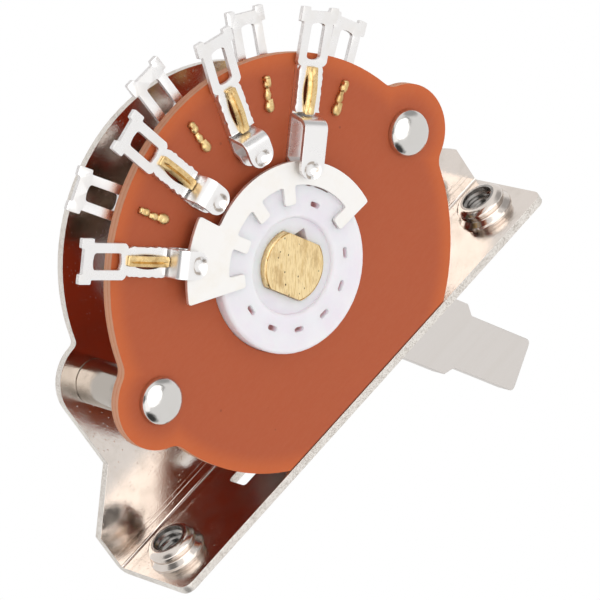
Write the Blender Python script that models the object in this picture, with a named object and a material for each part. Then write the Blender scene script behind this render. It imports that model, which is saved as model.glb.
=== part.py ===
"""Lever selector switch of an electric guitar, the open-frame kind.

The frame's origin is the middle of the lever slot on the outer face of the
bracket's flange. +Z points out of the instrument along the middle position of
the lever, X runs along the flange, and -Y points at the front face of the
phenolic wafer. All lengths below are in metres.

Radial pieces are drawn with X as the distance from the shaft's axis, Z as the
sideways direction and a height above the wafer, and then turned about the
shaft. An angle of 0 degrees lies along +X and 90 degrees along -Z.
"""

import math

import bmesh
import bpy
from mathutils import Matrix

MM = 0.001

# Bracket
HOLE_SPACING = 41.28 * MM
FLANGE_LENGTH = 47.6 * MM
FLANGE_FRONT = 4.55 * MM
PLATE_GAP = 4.40 * MM
SHEET = 0.75 * MM
BEND_RADIUS = 0.20 * MM
FLANGE_CORNER = 0.90 * MM
SHAFT_DEPTH = 15.13 * MM
PLATE_RADIUS = 15.8 * MM
PLATE_EAR_RADIUS = 3.68 * MM
PLATE_EAR_INSET = 0.26 * MM
PLATE_NOTCH = 0.55 * MM
FLARE_DROP = 4.30 * MM
SLOT_LENGTH = 25.4 * MM
SLOT_WIDTH = 2.25 * MM
SLOT_CORNER = 0.30 * MM
BOSS_HEIGHT = 1.60 * MM
BOSS_RADIUS = 2.20 * MM
BOSS_WAIST_RADIUS = 2.08 * MM
BOSS_FOOT_RADIUS = 2.48 * MM
BOSS_RIM_WALL = 0.25 * MM
BOSS_BORE_RADIUS = 1.37 * MM
BOSS_ENTRY_RADIUS = 1.80 * MM
BORE_TURN = 5.0

# Wafer
WAFER_RADIUS = 17.42 * MM
WAFER_EAR_RADIUS = 4.18 * MM
WAFER_EAR_INSET = 0.12 * MM
WAFER_NOTCH = 1.6 * MM
WAFER_THICKNESS = 0.95 * MM
WAFER_FRONT = 4.75 * MM
WAFER_FLANGE_GAP = 0.20 * MM

# Rivets and spacers
RIVET_SPACING = 31.94 * MM
RIVET_SHANK_RADIUS = 1.05 * MM
RIVET_HEAD_RADIUS = 2.0 * MM
RIVET_HEAD_HEIGHT = 1.15 * MM
RIVET_HEAD_RIM = 0.25 * MM
RIVET_TAIL_RADIUS = 1.75 * MM
RIVET_TAIL_HEIGHT = 0.55 * MM
SPACER_RADIUS = 1.94 * MM
SPACER_BORE_RADIUS = 1.25 * MM
SPACER_EDGE = 0.08 * MM

# Contacts
CONTACT_COUNT = 4
CONTACT_PITCH = 30.0
FRONT_CONTACT_START = 45.0
REAR_CONTACT_START = 60.0
CONTACT_WIDTH = 2.34 * MM
CLIP_THICKNESS = 0.30 * MM
CLIP_OUTER_END = 16.45 * MM
CLIP_HEIGHT = 2.25 * MM
CLIP_TIP = 0.95 * MM
SHORT_REACH = 9.55 * MM
LONG_REACH = 7.30 * MM
RISER_RADIUS = 12.12 * MM
RISER_LEAN = 0.42 * MM
RISER_CORNER = 0.35 * MM
RAMP_START = 1.55 * MM
RAMP_LENGTH = 0.50 * MM
LEAF_GAP = 0.27 * MM
DIMPLE_RADIUS = 0.60 * MM
DIMPLE_INSET = 0.72 * MM
JAW_GAP = 0.03 * MM
LUG_THICKNESS = 0.40 * MM
LUG_SHOULDER = 16.4 * MM
LUG_BEND = 16.6 * MM
LUG_END = 21.25 * MM
LUG_BEND_ANGLE = 6.0
LUG_WIDTH = 2.95 * MM
LUG_CORNER = 0.12 * MM
HORN_SPAN = 3.68 * MM
HORN_LENGTH = 1.25 * MM
HORN_RECESS = 0.32 * MM
HORN_WIDTH = 0.80 * MM
EYE_INNER = 17.1 * MM
EYE_OUTER = 19.80 * MM
EYE_WIDTH = 1.38 * MM
EYE_CORNER = 0.25 * MM
EYE_BULGE = 0.13 * MM
SLIT_LENGTH = 3.2 * MM
SLIT_WIDTH = 1.10 * MM
SLIT_RADIUS = 14.4 * MM

# Staples
STAPLE_LENGTH = 3.80 * MM
STAPLE_WIDTH = 0.82 * MM
STAPLE_END_WIDTH = 0.46 * MM
STAPLE_THICKNESS = 0.30 * MM
STAPLE_ARCH = 0.30 * MM
STAPLE_SHIFT = 0.13 * MM
STAPLE_LEG_SPAN = 2.4 * MM
STAPLE_LEG_WIDTH = 0.44 * MM
STAPLE_LEG_THICKNESS = 0.34 * MM
STAPLE_LONG_CLINCH = 1.50 * MM
STAPLE_SHORT_CLINCH = 0.50 * MM
STAPLE_BEND = 0.10 * MM
KNUCKLE_LENGTH = 0.60 * MM
KNUCKLE_HEIGHT = 0.10 * MM
CLINCH_SHIFT = 0.12 * MM
CLINCH_WIDTH = 0.32 * MM
LEG_HOLE_MARGIN = 0.06 * MM

# Rotor and blades
ROTOR_RADIUS = 7.2 * MM
ROTOR_RUNNING_GAP = 0.15 * MM
ROTOR_PROUD = 1.15 * MM
ROTOR_RECESS_RADIUS = 4.0 * MM
ROTOR_RECESS_DEPTH = 0.38 * MM
ROTOR_NOTCH_DEPTH = 0.85 * MM
ROTOR_NOTCH_WIDTH = 1.7 * MM
POCKET_COUNT = 12
POCKET_DEPTH = 0.95 * MM
POCKET_MARGIN = 0.09 * MM
BLADE_THICKNESS = 0.32 * MM
BLADE_OUTER_RADIUS = 8.75 * MM
BLADE_INNER_RADIUS = 6.80 * MM
LOBE_RADIUS = 10.95 * MM
LOBE_SPAN = 38.8
RING_SPAN = 158.2
TAB_LENGTH = 1.60 * MM
TAB_WIDTH = 1.12 * MM
BLADE_CORNER = 0.22 * MM
PRONG_THICKNESS = 0.26 * MM
PRONG_WIDTH = 0.80 * MM
PRONG_LENGTH = 0.70 * MM
PRONG_SETBACK = 0.01 * MM

# Shaft
SHAFT_RADIUS = 3.08 * MM
SHAFT_FLAT = 2.41 * MM
SHAFT_PROUD = 1.28 * MM
SHAFT_CHAMFER = 0.16 * MM
SHAFT_FIT = 0.04 * MM
SHOULDER_RADIUS = 4.0 * MM
SHOULDER_WIDTH = 0.8 * MM
JOURNAL_RADIUS = 2.40 * MM
JOURNAL_CLEARANCE = 0.06 * MM
WASHER_RADIUS = 4.2 * MM
WASHER_THICKNESS = 0.40 * MM
CLIP_RING_RADIUS = 3.35 * MM
CLIP_RING_THICKNESS = 0.36 * MM
GROOVE_RADIUS = 1.85 * MM
GROOVE_MARGIN = 0.03 * MM
JOURNAL_TIP = 0.45 * MM

# Lever
LEVER_PLANE = 0.25 * MM
LEVER_THICKNESS = 1.60 * MM
LEVER_THROW = 28.5
LEVER_HUB_RADIUS = 6.2 * MM
LEVER_ROOT_WIDTH = 6.4 * MM
LEVER_TIP_WIDTH = 4.75 * MM
LEVER_SHOULDER = 23.6 * MM
LEVER_LENGTH = 31.7 * MM
LEVER_TIP_CORNER = 0.45 * MM

# Detent
POSITION_COUNT = 5
DETENT_HOLE_RADIUS = 0.62 * MM
DETENT_CLEARANCE = 0.04 * MM
SPRING_THICKNESS = 0.30 * MM
SPRING_WIDTH = 2.6 * MM
SPRING_BASE_WIDTH = 5.2 * MM
SPRING_BASE_LENGTH = 2.4 * MM
SPRING_DROP = 2.63 * MM
SPRING_ARM_REACH = 4.50 * MM
SPRING_BEND_GAP = 0.30 * MM
SPRING_BEND = 0.10 * MM
SPRING_TAIL = 1.10 * MM
SPRING_TAIL_DROP = 1.60 * MM
NOSE_HALF = 0.35 * MM
NOSE_FLAT = 0.12 * MM
NOSE_ROUND = 0.12 * MM
SPRING_RIVET_SPACING = 3.1 * MM
SPRING_RIVET_RADIUS = 0.50 * MM
SPRING_RIVET_HEAD = 0.85 * MM
SPRING_RIVET_HEIGHT = 0.38 * MM

# Fits
SEAT = 0.02 * MM
PIN_FIT = 0.05 * MM
OVERCUT = 1.0 * MM
PLAN_REACH = 8.0 * MM

# Planes that follow from the sizes above
WAFER_BACK = WAFER_FRONT - WAFER_THICKNESS
PLATE_BACK = PLATE_GAP + SHEET
RIVET_X = RIVET_SPACING / 2
LEVER_FRONT = LEVER_PLANE - LEVER_THICKNESS / 2
LEVER_BACK = LEVER_PLANE + LEVER_THICKNESS / 2
LUG_FLOOR = SEAT + CLIP_THICKNESS + SEAT
LUG_TOP = LUG_FLOOR + LUG_THICKNESS
BLADE_FLOOR = ROTOR_PROUD + SEAT
BLADE_TOP = BLADE_FLOOR + BLADE_THICKNESS
LOW_LEAF_TOP = BLADE_FLOOR - LEAF_GAP
LUG_INNER_END = RISER_RADIUS + RISER_LEAN + RISER_CORNER * 0.2 + SEAT
TAB_REACH = BLADE_INNER_RADIUS - TAB_LENGTH
SPRING_BASE_CENTRE = SHAFT_DEPTH - SPRING_DROP
DETENT_RADIUS = SPRING_BASE_CENTRE - SPRING_ARM_REACH


def remove_scene_objects():
    for item in list(bpy.data.objects):
        bpy.data.objects.remove(item, do_unlink=True)


def finish(name, colour, roughness, metallic):
    material = bpy.data.materials.new(name)
    material.use_nodes = True
    shader = material.node_tree.nodes["Principled BSDF"]
    shader.inputs["Base Color"].default_value = (*colour, 1.0)
    shader.inputs["Roughness"].default_value = roughness
    shader.inputs["Metallic"].default_value = metallic
    material.diffuse_color = (*colour, 1.0)
    return material


# Plane outlines


def arc(centre, radius, start, end, steps):
    points = []
    for index in range(steps + 1):
        angle = math.radians(start + (end - start) * index / steps)
        points.append((centre[0] + radius * math.cos(angle), centre[1] + radius * math.sin(angle)))
    return points


def circle(centre, radius, steps):
    return arc(centre, radius, 0.0, 360.0, steps)[:-1]


def rounded_rectangle(low, high, radius, steps=4):
    left, bottom = low
    right, top = high
    outline = arc((right - radius, top - radius), radius, 0, 90, steps)
    outline += arc((left + radius, top - radius), radius, 90, 180, steps)
    outline += arc((left + radius, bottom + radius), radius, 180, 270, steps)
    outline += arc((right - radius, bottom + radius), radius, 270, 360, steps)
    return outline


def ellipse(centre, half_length, half_width, steps):
    points = []
    for index in range(steps):
        angle = 2 * math.pi * index / steps
        points.append(
            (centre[0] + half_length * math.cos(angle), centre[1] + half_width * math.sin(angle))
        )
    return points


def double_flat(radius, flat, steps=9):
    """Round outline with one flat on each side of the first axis."""
    corner = math.degrees(math.acos(flat / radius))
    outline = arc((0, 0), radius, corner, 180 - corner, steps)
    outline += arc((0, 0), radius, 180 + corner, 360 - corner, steps)
    return outline


def soften(outline, radius, steps=2, least_turn=30.0):
    """Round each corner of an outline that turns by more than a given angle."""
    result = []
    for index, (x, y) in enumerate(outline):
        before = outline[index - 1]
        after = outline[(index + 1) % len(outline)]
        back = (before[0] - x, before[1] - y)
        ahead = (after[0] - x, after[1] - y)
        heading = math.atan2(ahead[1], ahead[0]) - math.atan2(-back[1], -back[0])
        turn = abs((heading + math.pi) % (2 * math.pi) - math.pi)
        if math.degrees(turn) < least_turn:
            result.append((x, y))
            continue
        short = min(math.hypot(*back), math.hypot(*ahead)) * 0.45
        reach = min(radius * math.tan(turn / 2), short)
        start = (x + back[0] * reach / math.hypot(*back), y + back[1] * reach / math.hypot(*back))
        end = (x + ahead[0] * reach / math.hypot(*ahead), y + ahead[1] * reach / math.hypot(*ahead))
        for step in range(steps + 1):
            share = step / steps
            parts = ((1 - share) ** 2, 2 * share * (1 - share), share**2)
            result.append(
                (
                    parts[0] * start[0] + parts[1] * x + parts[2] * end[0],
                    parts[0] * start[1] + parts[1] * y + parts[2] * end[1],
                )
            )
    return result


def ear_quarter(radius, ear_x, ear_radius, fillet, steps):
    """Outline from the bottom of a disc, round a soft notch, to the tip of an ear."""
    reach = radius + fillet
    ear_reach = ear_radius + fillet
    across = (reach**2 - ear_reach**2 + ear_x**2) / (2 * ear_x)
    down = math.sqrt(reach**2 - across**2)
    on_disc = math.degrees(math.atan2(-down, across))
    to_disc = math.degrees(math.atan2(down, -across))
    to_ear = math.degrees(math.atan2(down, ear_x - across))
    on_ear = math.degrees(math.atan2(-down, across - ear_x))
    outline = arc((0, 0), radius, -90, on_disc, steps)
    outline += arc((across, -down), fillet, to_disc, to_ear, 4)[1:-1]
    outline += arc((ear_x, 0), ear_radius, on_ear, 0, 12)
    return outline


def turned_point(angle, radius, side):
    """Point at a radius and a sideways offset, on a ray at this angle, seen along +Y."""
    turn = math.radians(angle)
    across = radius * math.cos(turn) - side * math.sin(turn)
    down = radius * math.sin(turn) + side * math.cos(turn)
    return (across, -down)


# Solids


def spread(point, depth, axis):
    first, second = point
    if axis == "X":
        return (depth, first, second)
    if axis == "Y":
        return (first, depth, second)
    return (first, second, depth)


def add_loop(mesh, outline, depth, axis):
    corners = [mesh.verts.new(spread(point, depth, axis)) for point in outline]
    edges = []
    for index, corner in enumerate(corners):
        edges.append(mesh.edges.new((corner, corners[(index + 1) % len(corners)])))
    return corners, edges


def raise_prism(mesh, outline, axis, low, high, holes=()):
    """Fill a plane outline, with its holes left open, and extrude it along an axis."""
    corners, edges = add_loop(mesh, outline, low, axis)
    if holes:
        for hole in holes:
            edges += add_loop(mesh, hole, low, axis)[1]
        filled = bmesh.ops.triangle_fill(mesh, use_beauty=True, edges=edges)
        faces = [item for item in filled["geom"] if isinstance(item, bmesh.types.BMFace)]
    else:
        faces = [mesh.faces.new(corners)]
    raised = bmesh.ops.extrude_face_region(mesh, geom=faces)
    moved = [item for item in raised["geom"] if isinstance(item, bmesh.types.BMVert)]
    bmesh.ops.translate(mesh, verts=moved, vec=spread((0, 0), high - low, axis))


def finish_mesh(name, mesh):
    bmesh.ops.recalc_face_normals(mesh, faces=mesh.faces)
    data = bpy.data.meshes.new(name)
    mesh.to_mesh(data)
    mesh.free()
    return data


def prism(name, outline, axis, low, high, holes=()):
    mesh = bmesh.new()
    raise_prism(mesh, outline, axis, low, high, holes)
    return finish_mesh(name, mesh)


def turned(name, profile, segments, offset=0.0):
    """Spin a profile of (radius, depth) points about the Y axis, its corners offset by an angle."""
    mesh = bmesh.new()
    corners = [mesh.verts.new((radius, depth, 0)) for radius, depth in profile]
    edges = [mesh.edges.new(pair) for pair in zip(corners, corners[1:])]
    if profile[0][0] > 0 or profile[-1][0] > 0:
        edges.append(mesh.edges.new((corners[-1], corners[0])))
    bmesh.ops.spin(
        mesh,
        geom=corners + edges,
        cent=(0, 0, 0),
        axis=(0, 1, 0),
        angle=2 * math.pi,
        steps=segments,
        use_merge=True,
    )
    bmesh.ops.remove_doubles(mesh, verts=mesh.verts, dist=0.0000001)
    shift = Matrix.Rotation(math.radians(offset), 3, "Y")
    bmesh.ops.rotate(mesh, verts=mesh.verts, cent=(0, 0, 0), matrix=shift)
    return finish_mesh(name, mesh)


def place(name, data, material=None, parent=None, location=(0, 0, 0), turn=0.0):
    item = bpy.data.objects.new(name, data)
    bpy.context.collection.objects.link(item)
    item.location = location
    item.rotation_euler = (0, math.radians(turn), 0)
    item.parent = parent
    if material and not data.materials:
        data.materials.append(material)
    return item


def combine(target, data, operation, location=(0, 0, 0)):
    """Join, cut or trim a piece with a wire guide that stays out of the build."""
    guide = place(data.name + "_guide", data, location=location)
    guide.hide_render = True
    guide.display_type = "WIRE"
    modifier = target.modifiers.new(data.name, "BOOLEAN")
    modifier.operation = operation
    modifier.solver = "EXACT"
    modifier.object = guide
    return guide


def bake(target, guides):
    """Turn a piece and its modifiers into a plain mesh that copies can share."""
    graph = bpy.context.evaluated_depsgraph_get()
    data = bpy.data.meshes.new_from_object(target.evaluated_get(graph))
    data.name = target.name
    for item in [target] + guides:
        bpy.data.objects.remove(item, do_unlink=True)
    return data


def shade_round(item, angle=40):
    item.data.shade_smooth()
    item.data.set_sharp_from_angle(angle=math.radians(angle))


# Bracket


def bracket_section():
    """Section across the folded sheet, from the flange's free edge to the plate."""
    outer = BEND_RADIUS + SHEET
    centre = (PLATE_GAP - BEND_RADIUS, -SHEET - BEND_RADIUS)
    deep = -SHAFT_DEPTH - PLATE_RADIUS - OVERCUT
    section = [(-FLANGE_FRONT - OVERCUT, 0)]
    section += arc(centre, outer, 90, 0, 6)
    section += [(PLATE_BACK, deep), (PLATE_GAP, deep)]
    section += arc(centre, BEND_RADIUS, 0, 90, 3)
    section.append((-FLANGE_FRONT - OVERCUT, -SHEET))
    return section


def plate_outline():
    """Round plate with two ears and straight necks that flare out to the flange."""
    ear_x = RIVET_X - PLATE_EAR_INSET
    quarter = ear_quarter(PLATE_RADIUS, ear_x, PLATE_EAR_RADIUS, PLATE_NOTCH, 20)
    right = [(x, z - SHAFT_DEPTH) for x, z in quarter]
    neck = ear_x + PLATE_EAR_RADIUS
    flare = FLANGE_LENGTH / 2 - neck
    right.append((neck, -FLARE_DROP - flare))
    right.append((neck + flare + OVERCUT, -FLARE_DROP + OVERCUT))
    right.append((neck + flare + OVERCUT, OVERCUT))
    left = [(-x, z) for x, z in reversed(right)]
    return right + left[:-1]


def flange_outline():
    half = FLANGE_LENGTH / 2
    back = PLATE_BACK + OVERCUT
    outline = [(half, back), (-half, back)]
    outline += arc((-half + FLANGE_CORNER, -FLANGE_FRONT + FLANGE_CORNER), FLANGE_CORNER, 180, 270, 5)
    outline += arc((half - FLANGE_CORNER, -FLANGE_FRONT + FLANGE_CORNER), FLANGE_CORNER, 270, 360, 5)
    return outline


def boss_profile():
    """Pulled boss, from its foot inside the sheet up to a thin rim."""
    top = BOSS_HEIGHT
    inside = -SHEET / 2
    return [
        (0, inside),
        (BOSS_FOOT_RADIUS, inside),
        (BOSS_FOOT_RADIUS, top * 0.12),
        (BOSS_WAIST_RADIUS, top * 0.34),
        (BOSS_WAIST_RADIUS, top * 0.42),
        (BOSS_RADIUS, top * 0.50),
        (BOSS_RADIUS, top * 0.72),
        ((BOSS_RADIUS + BOSS_BORE_RADIUS + BOSS_RIM_WALL) / 2, top * 0.92),
        (BOSS_BORE_RADIUS + BOSS_RIM_WALL, top),
        (0, top),
    ]


def bore_profile():
    """Bore of a boss, with the rounded entry that pulling leaves on the outer face."""
    outside = -SHEET - OVERCUT
    flare = BOSS_ENTRY_RADIUS - BOSS_BORE_RADIUS
    return [
        (0, outside),
        (BOSS_ENTRY_RADIUS + OVERCUT / 2, outside),
        (BOSS_ENTRY_RADIUS, -SHEET),
        (BOSS_BORE_RADIUS + flare * 0.25, -SHEET * 0.55),
        (BOSS_BORE_RADIUS, 0),
        (BOSS_BORE_RADIUS, BOSS_HEIGHT + OVERCUT),
        (0, BOSS_HEIGHT + OVERCUT),
    ]


def make_bracket(material):
    half = FLANGE_LENGTH / 2 + OVERCUT
    bracket = place("bracket", prism("bracket", bracket_section(), "X", -half, half), material)
    reach = PLATE_BACK + OVERCUT
    combine(bracket, prism("plate_trim", plate_outline(), "Y", -FLANGE_FRONT - 2 * OVERCUT, reach), "INTERSECT")
    deep = -SHAFT_DEPTH - PLATE_RADIUS - 2 * OVERCUT
    combine(bracket, prism("flange_trim", flange_outline(), "Z", deep, OVERCUT), "INTERSECT")
    for side, word in ((-1, "left"), (1, "right")):
        seat = (side * HOLE_SPACING / 2, 0, -SHEET)
        boss = combine(bracket, turned("boss_" + word, boss_profile(), 24), "UNION", seat)
        boss.rotation_euler = (-math.pi / 2, 0, 0)
    for side, word in ((-1, "left"), (1, "right")):
        seat = (side * HOLE_SPACING / 2, 0, -SHEET)
        bore = combine(bracket, turned("bore_" + word, bore_profile(), 24, BORE_TURN), "DIFFERENCE", seat)
        bore.rotation_euler = (-math.pi / 2, 0, 0)
    combine(bracket, bracket_slot(), "DIFFERENCE")
    combine(bracket, plate_holes(), "DIFFERENCE")
    shade_round(bracket, 35)
    return bracket


def bracket_slot():
    low = (-SLOT_LENGTH / 2, LEVER_PLANE - SLOT_WIDTH / 2)
    high = (SLOT_LENGTH / 2, LEVER_PLANE + SLOT_WIDTH / 2)
    return prism("slot", rounded_rectangle(low, high, SLOT_CORNER), "Z", -SHEET - OVERCUT, OVERCUT)


def plate_holes():
    """Shaft hole, rivet holes and the row of index holes, as one cutter."""
    mesh = bmesh.new()
    low, high = PLATE_GAP - OVERCUT, PLATE_BACK + OVERCUT
    centre = (0, -SHAFT_DEPTH)
    raise_prism(mesh, circle(centre, JOURNAL_RADIUS + JOURNAL_CLEARANCE, 32), "Y", low, high)
    for side in (-1, 1):
        hole = circle((side * RIVET_X, -SHAFT_DEPTH), RIVET_SHANK_RADIUS + PIN_FIT, 16)
        raise_prism(mesh, hole, "Y", low, high)
    for index in range(POSITION_COUNT):
        lean = math.radians(-LEVER_THROW + 2 * LEVER_THROW * index / (POSITION_COUNT - 1))
        spot = (DETENT_RADIUS * math.sin(lean), DETENT_RADIUS * math.cos(lean) - SHAFT_DEPTH)
        raise_prism(mesh, circle(spot, DETENT_HOLE_RADIUS, 12), "Y", low, high)
    return finish_mesh("plate_holes", mesh)


# Wafer, rivets and spacers


def leg_hole(angle, radius):
    half_long = STAPLE_LEG_THICKNESS / 2 + LEG_HOLE_MARGIN
    half_wide = STAPLE_LEG_WIDTH / 2 + LEG_HOLE_MARGIN
    spots = [(-half_long, -half_wide), (half_long, -half_wide), (half_long, half_wide), (-half_long, half_wide)]
    hole = [turned_point(angle, radius + along, side) for along, side in spots]
    return [(x, z - SHAFT_DEPTH) for x, z in hole]


def wafer_outline():
    """Disc with two eared sides, cut straight beside the flange."""
    ear_x = RIVET_X - WAFER_EAR_INSET
    quarter = ear_quarter(WAFER_RADIUS, ear_x, WAFER_EAR_RADIUS, WAFER_NOTCH, 22)
    upper = [(x, -z) for x, z in reversed(quarter)][1:]
    flat = SHAFT_DEPTH - SHEET - WAFER_FLANGE_GAP
    corner = math.sqrt(WAFER_RADIUS**2 - flat**2)
    upper = [point for point in upper if point[1] < flat and not (point[0] < corner)]
    right = quarter + upper + [(corner, flat)]
    left = [(-x, z) for x, z in reversed(right)]
    outline = right + left[:-1]
    return [(x, z - SHAFT_DEPTH) for x, z in outline]


def make_wafer(material):
    holes = [circle((0, -SHAFT_DEPTH), ROTOR_RADIUS + ROTOR_RUNNING_GAP, 56)]
    for side in (-1, 1):
        holes.append(circle((side * RIVET_X, -SHAFT_DEPTH), RIVET_SHANK_RADIUS + PIN_FIT, 16))
    for start in (FRONT_CONTACT_START, REAR_CONTACT_START):
        for index in range(CONTACT_COUNT):
            for step in (-1, 1):
                radius = SLIT_RADIUS + step * STAPLE_LEG_SPAN / 2
                holes.append(leg_hole(start + index * CONTACT_PITCH, radius))
    data = prism("wafer", wafer_outline(), "Y", -WAFER_FRONT, -WAFER_BACK, holes)
    wafer = place("wafer", data, material)
    shade_round(wafer, 35)
    return wafer


def rivet_profile():
    """Domed head on the wafer, plain shank and a spread tail behind the plate."""
    head = -WAFER_FRONT - SEAT
    tail = PLATE_BACK + SEAT
    dome = RIVET_HEAD_HEIGHT - RIVET_HEAD_RIM
    profile = [(0, head - RIVET_HEAD_HEIGHT)]
    for index in range(1, 6):
        lean = math.radians(18 * index)
        profile.append((RIVET_HEAD_RADIUS * math.sin(lean), head - RIVET_HEAD_RIM - dome * math.cos(lean)))
    profile += [(RIVET_HEAD_RADIUS, head), (RIVET_SHANK_RADIUS, head), (RIVET_SHANK_RADIUS, tail)]
    profile += [(RIVET_TAIL_RADIUS, tail), (RIVET_TAIL_RADIUS, tail + RIVET_TAIL_HEIGHT * 0.5)]
    profile += [(RIVET_TAIL_RADIUS * 0.72, tail + RIVET_TAIL_HEIGHT), (0, tail + RIVET_TAIL_HEIGHT)]
    return profile


def spacer_profile():
    low, high = -WAFER_BACK + SEAT, PLATE_GAP - SEAT
    return [
        (SPACER_BORE_RADIUS, low),
        (SPACER_RADIUS - SPACER_EDGE, low),
        (SPACER_RADIUS, low + SPACER_EDGE),
        (SPACER_RADIUS, high - SPACER_EDGE),
        (SPACER_RADIUS - SPACER_EDGE, high),
        (SPACER_BORE_RADIUS, high),
    ]


def make_rivets_and_spacers(steel, plated):
    pieces = (
        ("rivet", turned("rivet", rivet_profile(), 20), steel),
        ("spacer", turned("spacer", spacer_profile(), 24), plated),
    )
    for name, data, material in pieces:
        for side, word in ((-1, "left"), (1, "right")):
            item = place(name + "_" + word, data, material, location=(side * RIVET_X, 0, -SHAFT_DEPTH))
            shade_round(item, 35)


# Contacts


def wafer_depth(face, height):
    """Depth of a point that stands this high off the front (1) or rear (-1) wafer face."""
    if face > 0:
        return -WAFER_FRONT - height
    return -WAFER_BACK + height


def side_shape(name, face, profile, half_width):
    """Extrude a side profile of (radius, height) points across a contact."""
    outline = [(radius, wafer_depth(face, height)) for radius, height in profile]
    return prism(name, outline, "Z", -half_width, half_width)


def plan_shape(name, outline, holes=()):
    return prism(name, outline, "Y", -WAFER_FRONT - PLAN_REACH, -WAFER_BACK + PLAN_REACH, holes)


def slit_outline():
    return ellipse((SLIT_RADIUS, 0), SLIT_LENGTH / 2, SLIT_WIDTH / 2, 12)


def lug_plan():
    half = CONTACT_WIDTH / 2
    arm = LUG_WIDTH / 2
    horn = HORN_SPAN / 2
    notch = horn - HORN_WIDTH
    side = [
        (LUG_INNER_END, half),
        (LUG_SHOULDER, half),
        (LUG_SHOULDER + (arm - half), arm),
        (LUG_END - HORN_LENGTH, arm),
        (LUG_END - HORN_LENGTH, horn),
        (LUG_END, horn),
        (LUG_END, notch),
        (LUG_END - HORN_RECESS, notch),
    ]
    return soften(side + [(x, -z) for x, z in reversed(side)], LUG_CORNER, 1)


def eye_outline():
    half = EYE_WIDTH / 2
    outline = [(EYE_OUTER, half), (EYE_OUTER + EYE_BULGE, 0), (EYE_OUTER, -half)]
    outline += [(EYE_INNER, -half), (EYE_INNER - EYE_BULGE, 0), (EYE_INNER, half)]
    return soften(outline, EYE_CORNER)


def lug_side():
    lift = math.tan(math.radians(LUG_BEND_ANGLE)) * (LUG_END + OVERCUT - LUG_BEND)
    inner = LUG_INNER_END - OVERCUT
    outer = LUG_END + OVERCUT
    floor = [(inner, LUG_FLOOR), (LUG_BEND, LUG_FLOOR), (outer, LUG_FLOOR + lift)]
    top = [(outer, LUG_TOP + lift), (LUG_BEND, LUG_TOP), (inner, LUG_TOP)]
    return floor + top


def lug_mesh(word, face):
    name = word + "_lug"
    lug = place(name, side_shape(name, face, lug_side(), HORN_SPAN / 2 + OVERCUT))
    plan = plan_shape(name + "_plan", lug_plan(), [eye_outline(), slit_outline()])
    return bake(lug, [combine(lug, plan, "INTERSECT")])


def clip_plan(reach):
    """Straight strip with a rounded tip."""
    half = CONTACT_WIDTH / 2
    side = [(CLIP_OUTER_END, half)]
    for index in range(6):
        lean = math.radians(15 * index)
        side.append((reach + CLIP_TIP * (1 - math.sin(lean)), half * math.cos(lean)))
    return side + [(reach, 0)] + [(x, -z) for x, z in reversed(side)]


def clip_side(reach):
    """Forked section: a base on the wafer, a low leaf and a high leaf with a gap for the blade."""
    base = SEAT + CLIP_THICKNESS
    outer = CLIP_OUTER_END + OVERCUT
    tip = reach - OVERCUT
    ramp_low = reach + RAMP_START
    ramp_high = ramp_low - RAMP_LENGTH
    leaf_floor = LOW_LEAF_TOP - CLIP_THICKNESS
    high_floor = CLIP_HEIGHT - CLIP_THICKNESS
    foot = RISER_RADIUS + RISER_LEAN
    corner = RISER_CORNER
    return [
        (outer, SEAT),
        (ramp_low, SEAT),
        (ramp_high, leaf_floor),
        (tip, leaf_floor),
        (tip, LOW_LEAF_TOP),
        (ramp_high, LOW_LEAF_TOP),
        (ramp_low, base),
        (foot - CLIP_THICKNESS * 1.25, base),
        (RISER_RADIUS - corner, high_floor - corner),
        (RISER_RADIUS - 2 * corner, high_floor),
        (tip, high_floor),
        (tip, CLIP_HEIGHT),
        (RISER_RADIUS - 1.4 * corner, CLIP_HEIGHT),
        (RISER_RADIUS - 0.5 * corner, CLIP_HEIGHT - 0.2 * corner),
        (RISER_RADIUS, CLIP_HEIGHT - 0.8 * corner),
        (foot - 0.2 * corner, base + 0.4 * corner),
        (foot + 0.2 * corner, base),
        (outer, base),
    ]


def dimple_profile(root, tip):
    """Small dome between two heights, its root set inside the leaf."""
    profile = [(0, root)]
    for index in range(2):
        lean = math.radians(42 * index)
        profile.append((DIMPLE_RADIUS * math.cos(lean), root + (tip - root) * math.sin(lean)))
    return profile + [(0, tip)]


def clip_mesh(word, face, reach):
    name = word + "_clip"
    clip = place(name, side_shape(name, face, clip_side(reach), CONTACT_WIDTH / 2 + OVERCUT))
    plan = plan_shape(name + "_plan", clip_plan(reach), [slit_outline()])
    guides = [combine(clip, plan, "INTERSECT")]
    spot = (reach + DIMPLE_INSET, 0, 0)
    leaf = CLIP_THICKNESS / 2
    domes = (
        ("_low_dimple", LOW_LEAF_TOP - leaf, BLADE_FLOOR - JAW_GAP),
        ("_high_dimple", CLIP_HEIGHT - leaf, BLADE_TOP + JAW_GAP),
    )
    for suffix, root, tip in domes:
        profile = [(r, wafer_depth(face, h)) for r, h in dimple_profile(root, tip)]
        guides.append(combine(clip, turned(name + suffix, profile, 8), "UNION", spot))
    return bake(clip, guides)


def crown_side():
    """Arched band of brass over the lug."""
    inner, outer = SLIT_RADIUS - STAPLE_LENGTH / 2, SLIT_RADIUS + STAPLE_LENGTH / 2
    under, over = [], []
    for index in range(7):
        share = index / 6
        radius = inner - OVERCUT / 4 + (outer - inner + OVERCUT / 2) * share
        rise = STAPLE_ARCH * math.sin(math.pi * share) ** 2
        under.append((radius, LUG_TOP + SEAT + rise * 0.5))
        over.append((radius, LUG_TOP + SEAT + STAPLE_THICKNESS + rise))
    return under + list(reversed(over))


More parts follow.
